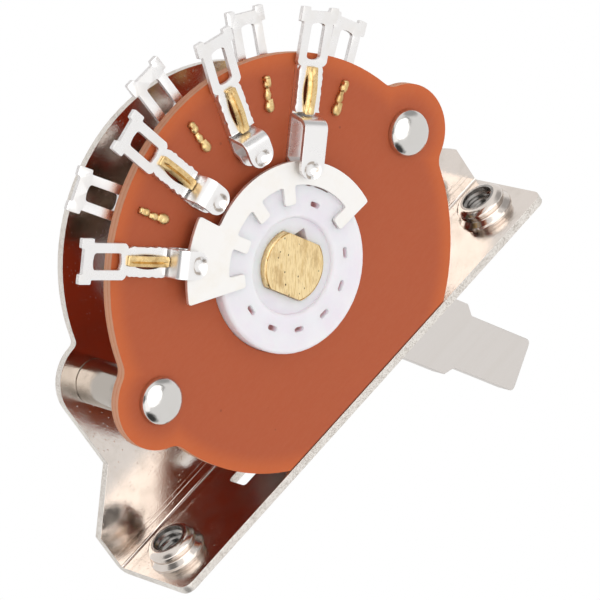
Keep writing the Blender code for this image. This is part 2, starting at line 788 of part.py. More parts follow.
def crown_plan():
    """Leaf-shaped band whose middle lies beside the slit, so that the slit shows."""
    upper, lower = [], []
    for index in range(7):
        share = index / 6
        swell = math.sin(math.pi * share) ** 1.5
        half = (STAPLE_END_WIDTH + (STAPLE_WIDTH - STAPLE_END_WIDTH) * swell) / 2
        radius = SLIT_RADIUS - STAPLE_LENGTH / 2 + STAPLE_LENGTH * share
        upper.append((radius, STAPLE_SHIFT * swell + half))
        lower.append((radius, STAPLE_SHIFT * swell - half))
    return upper + list(reversed(lower))


def leg_side(step, clinch):
    """One leg with its bent end, from inside the crown to behind the wafer."""
    centre = SLIT_RADIUS + step * STAPLE_LEG_SPAN / 2
    half = STAPLE_LEG_THICKNESS / 2
    top = LUG_TOP + SEAT + STAPLE_THICKNESS * 0.6
    under = -WAFER_THICKNESS - SEAT
    thin = under - STAPLE_LEG_THICKNESS
    low = thin - KNUCKLE_HEIGHT
    knuckle = centre - step * (half + min(KNUCKLE_LENGTH, clinch / 2))
    return [
        (centre + step * half, top),
        (centre + step * half, low + STAPLE_BEND),
        (centre + step * (half - STAPLE_BEND), low),
        (knuckle, low),
        (knuckle - step * KNUCKLE_HEIGHT, thin),
        (centre - step * (half + clinch), thin),
        (centre - step * (half + clinch), under),
        (centre - step * half, under),
        (centre - step * half, top),
    ]


def leg_plan(step, clinch):
    """Width of a leg: full at its bend, and narrow and sideways where a long end is beaten flat."""
    centre = SLIT_RADIUS + step * STAPLE_LEG_SPAN / 2
    half_long, half_wide = STAPLE_LEG_THICKNESS / 2, STAPLE_LEG_WIDTH / 2
    back = centre + step * (half_long + OVERCUT)
    neck = centre - step * (half_long + min(KNUCKLE_LENGTH, clinch))
    end = centre - step * (half_long + clinch)
    low, high = CLINCH_SHIFT - CLINCH_WIDTH / 2, CLINCH_SHIFT + CLINCH_WIDTH / 2
    if clinch <= KNUCKLE_LENGTH:
        return [(back, -half_wide), (neck, -half_wide), (neck, half_wide), (back, half_wide)]
    return [
        (back, -half_wide),
        (neck, -half_wide),
        (neck, low),
        (end, low),
        (end, high),
        (neck, high),
        (neck, half_wide),
        (back, half_wide),
    ]


def leg_mesh(name, face, step, clinch):
    half = CLINCH_SHIFT + CLINCH_WIDTH / 2 + STAPLE_LEG_WIDTH
    leg = place(name, side_shape(name, face, leg_side(step, clinch), half))
    return bake(leg, [combine(leg, plan_shape(name + "_plan", leg_plan(step, clinch)), "INTERSECT")])


def staple_mesh(word, face):
    name = word + "_staple"
    inner = leg_mesh(name + "_inner", face, -1, STAPLE_LONG_CLINCH)
    outer = leg_mesh(name + "_outer", face, 1, STAPLE_SHORT_CLINCH)
    staple = place(name, side_shape(name, face, crown_side(), STAPLE_WIDTH))
    guides = [combine(staple, plan_shape(name + "_plan", crown_plan()), "INTERSECT")]
    guides += [combine(staple, leg, "UNION") for leg in (inner, outer)]
    return bake(staple, guides)


def make_contacts(silver, brass):
    faces = (("front", 1, FRONT_CONTACT_START), ("rear", -1, REAR_CONTACT_START))
    for word, face, start in faces:
        lug = lug_mesh(word, face)
        short = clip_mesh(word, face, SHORT_REACH)
        long = clip_mesh(word + "_long", face, LONG_REACH)
        staple = staple_mesh(word, face)
        for index in range(CONTACT_COUNT):
            angle = start + index * CONTACT_PITCH
            clip = long if index == CONTACT_COUNT - 1 else short
            for kind, data, material in (("lug", lug, silver), ("clip", clip, silver), ("staple", staple, brass)):
                name = "%s_%s_%d" % (word, kind, index + 1)
                place(name, data, material, location=(0, 0, -SHAFT_DEPTH), turn=angle)


# Rotor and blades


def shaft_hole_outline():
    """Double-flat hole that fits the shaft with a small clearance."""
    return double_flat(SHAFT_RADIUS + SHAFT_FIT, SHAFT_FLAT + SHAFT_FIT)


def rotor_notch():
    """Three-cornered gap that stays open beside one flat of the shaft."""
    flat = SHAFT_FLAT + SHAFT_FIT
    half = ROTOR_NOTCH_WIDTH / 2
    return [(-flat + SHAFT_FIT * 3, half), (-flat - ROTOR_NOTCH_DEPTH, 0), (-flat + SHAFT_FIT * 3, -half)]


def rotor_pockets():
    mesh = bmesh.new()
    middle = TAB_REACH + PRONG_THICKNESS / 2
    half_long = PRONG_THICKNESS / 2 + POCKET_MARGIN
    half_wide = PRONG_WIDTH / 2 + POCKET_MARGIN
    for index in range(POCKET_COUNT):
        angle = 360 * index / POCKET_COUNT
        spots = ((-half_long, -half_wide), (half_long, -half_wide), (half_long, half_wide), (-half_long, half_wide))
        outline = [turned_point(angle, middle + along, side) for along, side in spots]
        for face in (1, -1):
            floor = wafer_depth(face, ROTOR_PROUD - POCKET_DEPTH)
            top = wafer_depth(face, ROTOR_PROUD + OVERCUT)
            raise_prism(mesh, outline, "Y", min(floor, top), max(floor, top))
    return finish_mesh("pockets", mesh)


def rotor_bore():
    """Shaft hole and both recesses, as one turned and flattened cutter."""
    mesh = bmesh.new()
    for face in (1, -1):
        floor = wafer_depth(face, ROTOR_PROUD - ROTOR_RECESS_DEPTH)
        top = wafer_depth(face, ROTOR_PROUD + OVERCUT)
        raise_prism(mesh, circle((0, 0), ROTOR_RECESS_RADIUS, 32), "Y", min(floor, top), max(floor, top))
    return finish_mesh("recesses", mesh)


def make_rotor(material, axis):
    front, rear = wafer_depth(1, ROTOR_PROUD), wafer_depth(-1, ROTOR_PROUD)
    outline = circle((0, 0), ROTOR_RADIUS, 56)
    rotor = place("rotor", prism("rotor", outline, "Y", front, rear, [shaft_hole_outline()]), material, axis)
    for guide in (
        combine(rotor, rotor_bore(), "DIFFERENCE"),
        combine(rotor, prism("rotor_notch", rotor_notch(), "Y", front - OVERCUT, rear + OVERCUT), "DIFFERENCE"),
        combine(rotor, rotor_pockets(), "DIFFERENCE"),
    ):
        guide.parent = axis
    shade_round(rotor, 35)


def blade_outline(lobe_centre, tabs):
    """Ring segment with a wide lobe at its start and inward tabs."""
    start = lobe_centre - LOBE_SPAN / 2
    end = start + RING_SPAN
    half = TAB_WIDTH / 2
    outline = [(x, z) for x, z in arc((0, 0), LOBE_RADIUS, -start, -start - LOBE_SPAN, 12)]
    outline += arc((0, 0), BLADE_OUTER_RADIUS, -start - LOBE_SPAN, -end, 30)
    edge = math.degrees(math.asin(half / BLADE_INNER_RADIUS))
    here = end
    for tab in sorted(tabs, reverse=True):
        if tab + edge < here:
            steps = max(1, round((here - tab - edge) / 6))
            run = arc((0, 0), BLADE_INNER_RADIUS, -here, -tab - edge, steps)
            outline += run if here == end else run[1:]
        outline += [turned_point(tab, TAB_REACH, half), turned_point(tab, TAB_REACH, -half)]
        here = tab - edge
        if here > start:
            outline.append(turned_point(tab, BLADE_INNER_RADIUS * math.cos(math.radians(edge)), -half))
    if here > start:
        steps = max(1, round((here - start) / 6))
        outline += arc((0, 0), BLADE_INNER_RADIUS, -here, -start, steps)[1:]
    return outline


def make_blade(name, face, lobe_centre, tabs, material, axis):
    floor, top = wafer_depth(face, BLADE_FLOOR), wafer_depth(face, BLADE_TOP)
    outline = soften(blade_outline(lobe_centre, tabs), BLADE_CORNER)
    blade = place(name, prism(name, outline, "Y", min(floor, top), max(floor, top)), material, axis)
    tip = wafer_depth(face, ROTOR_PROUD - PRONG_LENGTH)
    inside = wafer_depth(face, (BLADE_FLOOR + BLADE_TOP) / 2)
    half = PRONG_WIDTH / 2
    mesh = bmesh.new()
    for tab in tabs:
        spots = ((0, -half), (PRONG_THICKNESS, -half), (PRONG_THICKNESS, half), (0, half))
        corners = [turned_point(tab, TAB_REACH + PRONG_SETBACK + along, side) for along, side in spots]
        raise_prism(mesh, corners, "Y", min(tip, inside), max(tip, inside))
    guide = combine(blade, finish_mesh(name + "_prongs", mesh), "UNION")
    guide.parent = axis


# Shaft


def shaft_profile():
    front = wafer_depth(1, SHAFT_PROUD)
    shoulder = LEVER_BACK + SEAT
    journal = PLATE_GAP - PIN_FIT
    groove = PLATE_BACK + SEAT + WASHER_THICKNESS + SEAT
    groove_end = groove + CLIP_RING_THICKNESS + 2 * GROOVE_MARGIN
    return [
        (0, front),
        (SHAFT_RADIUS - SHAFT_CHAMFER, front),
        (SHAFT_RADIUS, front + SHAFT_CHAMFER),
        (SHAFT_RADIUS, shoulder),
        (SHOULDER_RADIUS, shoulder),
        (SHOULDER_RADIUS, shoulder + SHOULDER_WIDTH),
        (SHAFT_RADIUS, shoulder + SHOULDER_WIDTH),
        (SHAFT_RADIUS, journal),
        (JOURNAL_RADIUS, journal),
        (JOURNAL_RADIUS, groove),
        (GROOVE_RADIUS, groove),
        (GROOVE_RADIUS, groove_end),
        (JOURNAL_RADIUS, groove_end),
        (JOURNAL_RADIUS, groove_end + JOURNAL_TIP * 0.6),
        (JOURNAL_RADIUS - JOURNAL_TIP * 0.4, groove_end + JOURNAL_TIP),
        (0, groove_end + JOURNAL_TIP),
    ]


def make_shaft(brass, steel, axis):
    shaft = place("shaft", turned("shaft", shaft_profile(), 32), brass, axis)
    front = wafer_depth(1, SHAFT_PROUD)
    mesh = bmesh.new()
    wide = SHAFT_RADIUS + OVERCUT
    for side in (-1, 1):
        near, far = side * SHAFT_FLAT, side * wide
        outline = [(near, -wide), (far, -wide), (far, wide), (near, wide)]
        raise_prism(mesh, outline, "Y", front - OVERCUT, LEVER_BACK + SEAT)
    combine(shaft, finish_mesh("flats", mesh), "DIFFERENCE").parent = axis
    shade_round(shaft, 35)
    low = PLATE_BACK + SEAT
    hole = circle((0, 0), JOURNAL_RADIUS + JOURNAL_CLEARANCE, 32)
    ring = prism("shaft_washer", circle((0, 0), WASHER_RADIUS, 32), "Y", low, low + WASHER_THICKNESS, [hole])
    shade_round(place("shaft_washer", ring, steel, axis), 35)
    low += WASHER_THICKNESS + SEAT + GROOVE_MARGIN
    clip = prism("shaft_clip", retaining_ring_outline(), "Y", low, low + CLIP_RING_THICKNESS)
    shade_round(place("shaft_clip", clip, steel, axis), 35)


def retaining_ring_outline():
    """Open ring that snaps into the shaft's groove."""
    outline = arc((0, 0), CLIP_RING_RADIUS, -60, 240, 30)
    outline += arc((0, 0), GROOVE_RADIUS + PIN_FIT, 225, -45, 24)
    return outline


# Lever and detent


def lever_outline():
    root, tip = LEVER_ROOT_WIDTH / 2, LEVER_TIP_WIDTH / 2
    corner = LEVER_TIP_CORNER
    join = math.degrees(math.acos(root / LEVER_HUB_RADIUS))
    right = arc((0, 0), LEVER_HUB_RADIUS, -90, join, 22)
    right += [(root, LEVER_SHOULDER), (tip, LEVER_SHOULDER + (root - tip))]
    right += arc((tip - corner, LEVER_LENGTH - corner), corner, 0, 90, 4)
    return right + [(-x, z) for x, z in reversed(right)][:-1]


def spring_rivet_spots():
    half = SPRING_RIVET_SPACING / 2
    return ((-half, SPRING_BASE_CENTRE), (half, SPRING_BASE_CENTRE))


def make_lever(material, axis):
    holes = [shaft_hole_outline()]
    for spot in spring_rivet_spots():
        holes.append(circle(spot, SPRING_RIVET_RADIUS + PIN_FIT, 12))
    data = prism("lever", lever_outline(), "Y", LEVER_FRONT, LEVER_BACK, holes)
    lever = place("lever", data, material, axis)
    shade_round(lever, 35)


def spring_plan():
    base, arm = SPRING_BASE_WIDTH / 2, SPRING_WIDTH / 2
    low = SPRING_BASE_CENTRE - SPRING_BASE_LENGTH / 2
    high = SPRING_BASE_CENTRE + SPRING_BASE_LENGTH / 2
    end = DETENT_RADIUS - SPRING_TAIL
    right = [(arm, end), (arm, low - (base - arm)), (base, low), (base, high)]
    return right + [(-x, z) for x, z in reversed(right)]


def spring_side():
    """Flat base on the lever, then an arm that rises to a rounded nose under the plate."""
    sheet = SPRING_THICKNESS
    floor = LEVER_BACK + SEAT
    crest = PLATE_GAP - DETENT_CLEARANCE
    high = SPRING_BASE_CENTRE + SPRING_BASE_LENGTH / 2 + OVERCUT
    bend = SPRING_BASE_CENTRE - SPRING_BASE_LENGTH / 2 - SPRING_BEND_GAP
    nose, tail = DETENT_RADIUS, DETENT_RADIUS - SPRING_TAIL - OVERCUT
    inside = crest - sheet * 1.4
    inner_half = NOSE_HALF - SPRING_BEND
    return [
        (floor, high),
        (floor, bend),
        (inside, nose + inner_half),
        (inside, nose - inner_half),
        (crest - sheet - SPRING_TAIL_DROP, tail),
        (crest - SPRING_TAIL_DROP + sheet * 0.3, tail),
        (crest - NOSE_ROUND, nose - NOSE_HALF),
        (crest, nose - NOSE_FLAT),
        (crest, nose + NOSE_FLAT),
        (crest - NOSE_ROUND, nose + NOSE_HALF),
        (floor + sheet, bend + SPRING_BEND),
        (floor + sheet, high),
    ]


def make_detent(material, rivet_material, axis):
    half = SPRING_BASE_WIDTH / 2 + OVERCUT
    spring = place("detent_spring", prism("detent_spring", spring_side(), "X", -half, half), material, axis)
    holes = [circle(spot, SPRING_RIVET_RADIUS + PIN_FIT, 12) for spot in spring_rivet_spots()]
    plan = prism("spring_plan", spring_plan(), "Y", LEVER_BACK - OVERCUT, PLATE_GAP + OVERCUT, holes)
    combine(spring, plan, "INTERSECT").parent = axis
    low, high = LEVER_FRONT - SEAT, LEVER_BACK + 2 * SEAT + SPRING_THICKNESS
    tall, head, shank = SPRING_RIVET_HEIGHT, SPRING_RIVET_HEAD, SPRING_RIVET_RADIUS
    profile = [(0, low - tall), (head * 0.7, low - tall), (head, low - tall * 0.4), (head, low), (shank, low)]
    profile += [(shank, high), (head, high), (head, high + tall * 0.4), (head * 0.7, high + tall), (0, high + tall)]
    data = turned("detent_rivet", profile, 12)
    for (x, z), word in zip(spring_rivet_spots(), ("left", "right")):
        shade_round(place("detent_rivet_" + word, data, rivet_material, axis, location=(x, 0, z)), 35)


def main():
    remove_scene_objects()
    plated = finish("bright_nickel", (0.74, 0.71, 0.67), 0.22, 1.0)
    steel = finish("polished_steel", (0.78, 0.77, 0.75), 0.15, 1.0)
    phenolic = finish("brown_phenolic", (0.46, 0.115, 0.050), 0.45, 0.0)
    silver = finish("silver_plate", (0.86, 0.84, 0.81), 0.18, 1.0)
    matte_silver = finish("matte_silver", (0.88, 0.86, 0.82), 0.42, 1.0)
    brass = finish("brass", (0.75, 0.52, 0.20), 0.28, 1.0)
    nylon = finish("white_nylon", (0.86, 0.83, 0.88), 0.40, 0.0)
    spring_steel = finish("spring_steel", (0.55, 0.55, 0.56), 0.30, 1.0)

    axis = bpy.data.objects.new("lever_axis", None)
    bpy.context.collection.objects.link(axis)
    axis.location = (0, 0, -SHAFT_DEPTH)
    axis.rotation_euler = (0, math.radians(-LEVER_THROW), 0)

    make_bracket(plated)
    make_wafer(phenolic)
    make_rivets_and_spacers(steel, plated)
    make_contacts(silver, brass)
    make_rotor(nylon, axis)
    pitch = 360.0 / POCKET_COUNT
    front_tabs = [2 * pitch, 3 * pitch, 4 * pitch, 5 * pitch, 7 * pitch]
    rear_tabs = [3 * pitch, 4 * pitch, 5 * pitch, 6 * pitch, 7 * pitch]
    front_lobe = FRONT_CONTACT_START + CONTACT_PITCH
    rear_lobe = REAR_CONTACT_START + CONTACT_PITCH
    make_blade("front_blade", 1, front_lobe, front_tabs, matte_silver, axis)
    make_blade("rear_blade", -1, rear_lobe, rear_tabs, matte_silver, axis)
    make_shaft(brass, spring_steel, axis)
    make_lever(plated, axis)
    make_detent(spring_steel, steel, axis)


main()
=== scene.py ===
"""Looks of an open-frame lever switch that selects the pickups of an electric guitar.

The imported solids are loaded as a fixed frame. Each sub-assembly below is a class
that holds its sizes in metres, rounds the stamped and moulded edges of its solids,
adds the fine pieces that they lack, and dresses them in procedural finishes. The
shaft's axis lies along Y, the front face of the board faces -Y, and +Z points out
of the instrument.
"""

from __future__ import annotations

import functools
import logging
import math
from dataclasses import dataclass
from enum import Enum

import bmesh
import bpy
from mathutils import Matrix, Quaternion, Vector, noise
from mathutils.bvhtree import BVHTree


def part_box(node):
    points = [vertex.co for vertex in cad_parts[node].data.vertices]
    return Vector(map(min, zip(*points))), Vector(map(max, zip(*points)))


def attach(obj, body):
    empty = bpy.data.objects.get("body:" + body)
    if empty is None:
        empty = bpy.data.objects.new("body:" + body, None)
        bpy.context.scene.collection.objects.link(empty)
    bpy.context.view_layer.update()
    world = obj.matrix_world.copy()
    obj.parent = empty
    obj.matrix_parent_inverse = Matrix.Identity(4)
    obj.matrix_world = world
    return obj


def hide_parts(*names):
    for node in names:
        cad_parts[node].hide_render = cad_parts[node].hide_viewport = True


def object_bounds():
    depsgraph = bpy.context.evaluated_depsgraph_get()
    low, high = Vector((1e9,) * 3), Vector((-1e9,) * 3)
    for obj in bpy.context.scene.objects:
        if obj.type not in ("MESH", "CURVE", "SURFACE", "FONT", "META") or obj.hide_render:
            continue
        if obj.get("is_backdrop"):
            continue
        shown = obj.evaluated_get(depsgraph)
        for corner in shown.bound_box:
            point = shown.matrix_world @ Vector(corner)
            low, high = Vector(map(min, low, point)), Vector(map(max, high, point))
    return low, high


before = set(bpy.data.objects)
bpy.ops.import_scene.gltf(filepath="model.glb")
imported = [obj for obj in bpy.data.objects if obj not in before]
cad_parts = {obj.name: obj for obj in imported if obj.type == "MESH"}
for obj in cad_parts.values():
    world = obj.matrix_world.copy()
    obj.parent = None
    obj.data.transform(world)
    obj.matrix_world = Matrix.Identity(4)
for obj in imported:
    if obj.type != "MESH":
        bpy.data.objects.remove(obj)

MM = 0.001
MICRON = 0.000001
# Depth of the shaft's axis below the flange, and of the board's middle in front of the fixing holes.
SHAFT_DEPTH = 15.13 * MM
BOARD_DEPTH = 4.275 * MM

log = logging.getLogger("selector_switch")

Mesh = bmesh.types.BMesh
Edge = bmesh.types.BMEdge
Socket = bpy.types.NodeSocket
Colour = tuple[float, float, float]
Place = tuple[float, float, float]
Outline = list[tuple[float, float]]


class Body(Enum):
    """The two bodies of the switch: the fixed frame and everything on the shaft."""

    FRAME = "frame"
    LEVER = "lever"


class Slot(Enum):
    """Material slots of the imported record."""

    BRACKET_NICKEL = "bracket_nickel"
    LEVER_NICKEL = "lever_nickel"
    RIVET_STEEL = "rivet_steel"
    PHENOLIC = "phenolic"
    SILVER = "silver"
    MATTE_SILVER = "matte_silver"
    BRASS = "brass"
    NYLON = "nylon"
    SPRING_STEEL = "spring_steel"


class Grain(Enum):
    """Directions that rolling or brushing can leave in a metal, as stretches of its pattern."""

    ALONG_X = (0.06, 1.0, 1.0)
    ALONG_Z = (1.0, 1.0, 0.06)
    NONE = (1.0, 1.0, 1.0)


def direction_of(azimuth: float, elevation: float) -> Vector:
    """Turn an azimuth from the front face's side and an elevation, in degrees, into a direction."""
    turn, rise = math.radians(azimuth), math.radians(elevation)
    return Vector((math.sin(turn) * math.cos(rise), -math.cos(turn) * math.cos(rise), math.sin(rise)))


def screen_colour(*levels: int) -> Colour:
    """Turn a colour read from a screen into the linear colour that a shader takes.

    Args:
        levels: Red, green and blue from 0 to 255.

    Returns:
        The linear colour.
    """
    shares = [level / 255 for level in levels]
    return tuple(share / 12.92 if share <= 0.04045 else ((share + 0.055) / 1.055) ** 2.4 for share in shares)


def add_object(name: str, data: bpy.types.ID) -> bpy.types.Object:
    """Add an object to the scene.

    Args:
        name: The object's name.
        data: Its mesh, lamp or camera.

    Returns:
        The object.
    """
    item = bpy.data.objects.new(name, data)
    bpy.context.scene.collection.objects.link(item)
    return item


class ShaderGraph:
    """Builder for the node tree of one finish, or of the studio's sky."""

    def __init__(self, tree: bpy.types.NodeTree) -> None:
        """Start from an empty tree."""
        self.tree = tree
        self.tree.nodes.clear()

    def add(self, kind: str, **settings: object) -> bpy.types.Node:
        """Add a node and set its properties.

        Args:
            kind: Blender's name of the node type.
            settings: Properties of the node by name.

        Returns:
            The new node.
        """
        node = self.tree.nodes.new(kind)
        for name, value in settings.items():
            setattr(node, name, value)
        return node

    def feed(self, target: Socket, value: object) -> None:
        """Link a socket to an input, or set the input's own value.

        Args:
            target: The input.
            value: A socket or a plain value.
        """
        if isinstance(value, Socket):
            self.tree.links.new(value, target)
        else:
            target.default_value = value

    def start_coat(self, metallic: float) -> None:
        """Start a material from a Principled shader.

        Args:
            metallic: 1 for metal and 0 for anything else.
        """
        self.shader = self.add("ShaderNodeBsdfPrincipled")
        self.output = self.add("ShaderNodeOutputMaterial")
        self.coat("Metallic", metallic)
        self.feed(self.output.inputs["Surface"], self.shader.outputs[0])

    def coat(self, name: str, value: object) -> None:
        """Feed one input of the material's shader."""
        self.feed(self.shader.inputs[name], value)

    def coated(self, name: str) -> Socket:
        """Give what feeds one input of the material's shader so far."""
        return self.shader.inputs[name].links[0].from_socket

    def position(self) -> Socket:
        """Give the place on the piece, in metres."""
        return self.add("ShaderNodeTexCoord").outputs["Object"]

    def facing(self) -> Socket:
        """Give the direction in which the piece's surface faces."""
        return self.add("ShaderNodeTexCoord").outputs["Normal"]

    def axis(self, vector: Socket, number: int) -> Socket:
        """Take one part of a vector.

        Args:
            vector: The vector.
            number: 0 for X, 1 for Y and 2 for Z.

        Returns:
            The number's socket.
        """
        split = self.add("ShaderNodeSeparateXYZ")
        self.feed(split.inputs[0], vector)
        return split.outputs[number]

    def sum(self, operation: str, *values: object, clamp: bool = False) -> Socket:
        """Work out a number from other numbers.

        Args:
            operation: Blender's name of the operation.
            values: Up to three sockets or numbers.
            clamp: True to keep the result between 0 and 1.

        Returns:
            The result's socket.
        """
        node = self.add("ShaderNodeMath", operation=operation, use_clamp=clamp)
        for target, value in zip(node.inputs, values):
            self.feed(target, value)
        return node.outputs[0]

    def product(self, *values: object) -> Socket:
        """Multiply two or more numbers."""
        return functools.reduce(functools.partial(self.sum, "MULTIPLY"), values)

    def stretch(self, vector: Socket, scale: Place, shift: Place = (0.0, 0.0, 0.0)) -> Socket:
        """Scale a pattern's coordinates along each axis.

        Args:
            vector: The coordinates.
            scale: One factor for each axis.
            shift: Offset that is added to the coordinates.

        Returns:
            The changed coordinates.
        """
        node = self.add("ShaderNodeMapping")
        for name, value in (("Vector", vector), ("Scale", scale), ("Location", shift)):
            self.feed(node.inputs[name], value)
        return node.outputs[0]

    def turned(self, vector: Socket, degrees: float) -> Socket:
        """Turn a pattern's coordinates about the Y axis.

        Args:
            vector: The coordinates.
            degrees: The angle.

        Returns:
            The turned coordinates.
        """
        node = self.add("ShaderNodeVectorRotate", rotation_type="Y_AXIS")
        self.feed(node.inputs["Vector"], vector)
        self.feed(node.inputs["Angle"], math.radians(degrees))
        return node.outputs[0]

    def axis_distance(self, place: Socket, across: float = 0.0, depth: float = SHAFT_DEPTH) -> Socket:
        """Measure how far a point lies from an axis along Y, which is the shaft's unless told.

        Args:
            place: The point in metres.
            across: The axis's X.
            depth: The axis's depth below the flange.

        Returns:
            The distance in metres.
        """
        flat = self.stretch(place, (1.0, 0.0, 1.0), (-across, 0.0, depth))
        length = self.add("ShaderNodeVectorMath", operation="LENGTH")
        self.feed(length.inputs[0], flat)
        return length.outputs["Value"]

    def off_board(self, place: Socket) -> Socket:
        """Measure how far a point lies from the middle of the board."""
        return self.sum("ABSOLUTE", self.sum("ADD", self.axis(place, 1), BOARD_DEPTH))

    def noise(self, vector: Socket, size: float, detail: float = 2.0, roughness: float = 0.5) -> Socket:
        """Add a cloudy pattern.

        Args:
            vector: The pattern's coordinates in metres.
            size: Width of one cloud in metres.
            detail: Number of finer layers.
            roughness: Weight of the finer layers.

        Returns:
            A number from 0 to 1, about 0.5 on average.
        """
        node = self.add("ShaderNodeTexNoise")
        for name, value in (("Vector", vector), ("Scale", 1.0 / size), ("Detail", detail), ("Roughness", roughness)):
            self.feed(node.inputs[name], value)
        return node.outputs[0]

    def specks(self, vector: Socket, size: float, share: float) -> Socket:
        """Scatter round specks.

        Args:
            vector: The pattern's coordinates in metres.
            size: Distance between neighbouring specks in metres.
            share: Radius of a speck as a share of that distance.

        Returns:
            A number that is 1 in a speck and 0 around it.
        """
        node = self.add("ShaderNodeTexVoronoi", feature="F1")
        self.feed(node.inputs["Vector"], vector)
        self.feed(node.inputs["Scale"], 1.0 / size)
        return self.ease(node.outputs["Distance"], share, share * 0.5)

    def ease(self, value: object, start: float, end: float, low: float = 0.0, high: float = 1.0) -> Socket:
        """Run smoothly from one level to another as a value passes a range.

        Args:
            value: The value that is followed.
            start: The value at which the low level ends.
            end: The value at which the high level starts.
            low: The level before the range.
            high: The level after it.

        Returns:
            The level's socket.
        """
        node = self.add("ShaderNodeMapRange", interpolation_type="SMOOTHSTEP", clamp=True)
        names = ("Value", "From Min", "From Max", "To Min", "To Max")
        for name, level in zip(names, (value, start, end, low, high)):
            self.feed(node.inputs[name], level)
        return node.outputs[0]

    def band(self, value: object, centre: float, half_width: float) -> Socket:
        """Give 1 where a value lies near a centre, falling smoothly to 0 at a half width."""
        offset = self.sum("ABSOLUTE", self.sum("SUBTRACT", value, centre))
        return self.ease(offset, half_width, half_width * 0.3)

    def blend(self, share: object, first: object, second: object) -> Socket:
        """Mix two colours.

        Args:
            share: 0 for the first colour and 1 for the second.
            first: A socket or a linear colour.
            second: A socket or a linear colour.

        Returns:
            The mixed colour's socket.
        """
        node = self.add("ShaderNodeMix", data_type="RGBA")
        self.feed(node.inputs[0], share)
        for target, colour in ((node.inputs[6], first), (node.inputs[7], second)):
            self.feed(target, (*colour, 1.0) if isinstance(colour, tuple) else colour)
        return node.outputs[2]

    def relief(self, height: Socket, depth: float, below: Socket | None = None) -> Socket:
        """Bend the surface's normals as a relief of a given depth would.

        Args:
            height: A number from 0, low, to 1, high.
            depth: Height of the relief in metres.
            below: Normals of a coarser relief that this one lies on.

        Returns:
            The bent normals.
        """
        node = self.add("ShaderNodeBump")
        for name, value in (("Strength", 1.0), ("Distance", depth), ("Height", height), ("Normal", below)):
            if value is not None:
                self.feed(node.inputs[name], value)
        return node.outputs[0]


@dataclass(frozen=True)
class Finish:
    """A finish with a name, a linear colour, a shine and a slot of the record."""

    name: str
    colour: Colour
    roughness: float
    slot: Slot | None = None
    metallic: float = 1.0

    @functools.cache
    def material(self) -> bpy.types.Material:
        """Build this finish's material once and hand it out again later.

        Returns:
            The material.
        """
        material = bpy.data.materials.new(self.name)
        material.use_nodes = True
        graph = ShaderGraph(material.node_tree)
        graph.start_coat(self.metallic)
        self.paint(graph)
        material.diffuse_color = (*self.colour, 1.0)
        return material

    def paint(self, graph: ShaderGraph) -> None:
        """Give the material its colour, shine and relief, as each kind of finish does its own way."""
        raise NotImplementedError(self.name)


@dataclass(frozen=True)
class PlatedSheet(Finish):
    """Plated sheet metal with a rolling grain, a fine orange peel and cloudy shine."""

    tarnish: Colour = (0.5, 0.45, 0.38)
    tarnish_share: float = 0.25
    grain: Grain = Grain.NONE
    cloud_size: float = 2.2 * MM
    cloud: float = 0.06
    peel_size: float = 0.30 * MM
    peel_depth: float = 2.0 * MICRON
    wave_size: float = 4.0 * MM
    wave_depth: float = 15.0 * MICRON

    def paint(self, graph: ShaderGraph) -> None:
        """Give the material its colour, shine and relief.

        Args:
            graph: The material's tree.
        """
        place = graph.position()
        along = graph.stretch(place, self.grain.value)
        clouds = graph.noise(along, self.cloud_size, 4.0, 0.6)
        dull = graph.product(graph.ease(clouds, 0.42, 0.75), self.tarnish_share)
        graph.coat("Base Color", graph.blend(dull, self.colour, self.tarnish))
        graph.coat("Roughness", graph.ease(clouds, 0.30, 0.70, self.roughness, self.roughness + self.cloud))
        waves = graph.relief(graph.noise(place, self.wave_size, 1.0), self.wave_depth)
        graph.coat("Normal", graph.relief(graph.noise(along, self.peel_size, 3.0, 0.6), self.peel_depth, waves))


@dataclass(frozen=True)
class DimpledSpring(PlatedSheet):
    """Plated spring sheet with painted grey-brown shade and reflection on the slopes of the dimples that its leaves
    carry.
    """

    # Painted shade and reflection: grey-brown for the slopes of the dimples.
    painted_shade: Colour = (0.40, 0.32, 0.26)
    painted_shade_share: float = 0.85
    shade_break_size: float = 0.42 * MM
    slope_height: float = 2.595 * MM
    slope_half_height: float = 0.10 * MM
    leaf_start: float = 10.85 * MM
    leaf_fade: float = 0.1 * MM

    def paint(self, graph: ShaderGraph) -> None:
        """Give the material its colour, shine and relief.

        Args:
            graph: The material's tree.
        """
        super().paint(graph)
        place = graph.position()
        slope = graph.band(graph.off_board(place), self.slope_height, self.slope_half_height)
        leaf_end = self.leaf_start - self.leaf_fade
        leaf = graph.ease(graph.axis_distance(place), self.leaf_start, leaf_end, 0.0, self.painted_shade_share)
        broken = graph.ease(graph.noise(place, self.shade_break_size, 2.0), 0.38, 0.60)
        # Painted shade and reflection: a broken grey-brown ring on the slopes of the dimples of the leaves.
        dimple_shade_mask = graph.product(slope, leaf, broken)
        graph.coat("Base Color", graph.blend(dimple_shade_mask, graph.coated("Base Color"), self.painted_shade))


@dataclass(frozen=True)
class FoldedNickel(PlatedSheet):
    """Plated sheet of the bracket, with grit under the plating and the tool's lines beside the fold."""

    fold_depth: float = 1.55 * MM
    line_gap: float = 0.42 * MM
    line_half_width: float = 0.07 * MM
    line_depth: float = 8 * MICRON
    grit_size: float = 0.42 * MM
    grit_depth: float = 7 * MICRON

    def paint(self, graph: ShaderGraph) -> None:
        """Give the material its colour, shine and relief.

        Args:
            graph: The material's tree.
        """
        super().paint(graph)
        place = graph.position()
        height = graph.axis(place, 2)
        line = graph.band(height, -self.fold_depth, self.line_half_width)
        second = graph.band(height, -self.fold_depth - self.line_gap, self.line_half_width * 0.7)
        lines = graph.sum("MAXIMUM", line, graph.product(second, 0.5))
        grit = graph.relief(graph.specks(place, self.grit_size, 0.20), self.grit_depth, graph.coated("Normal"))
        graph.coat("Normal", graph.relief(lines, self.line_depth, grit))


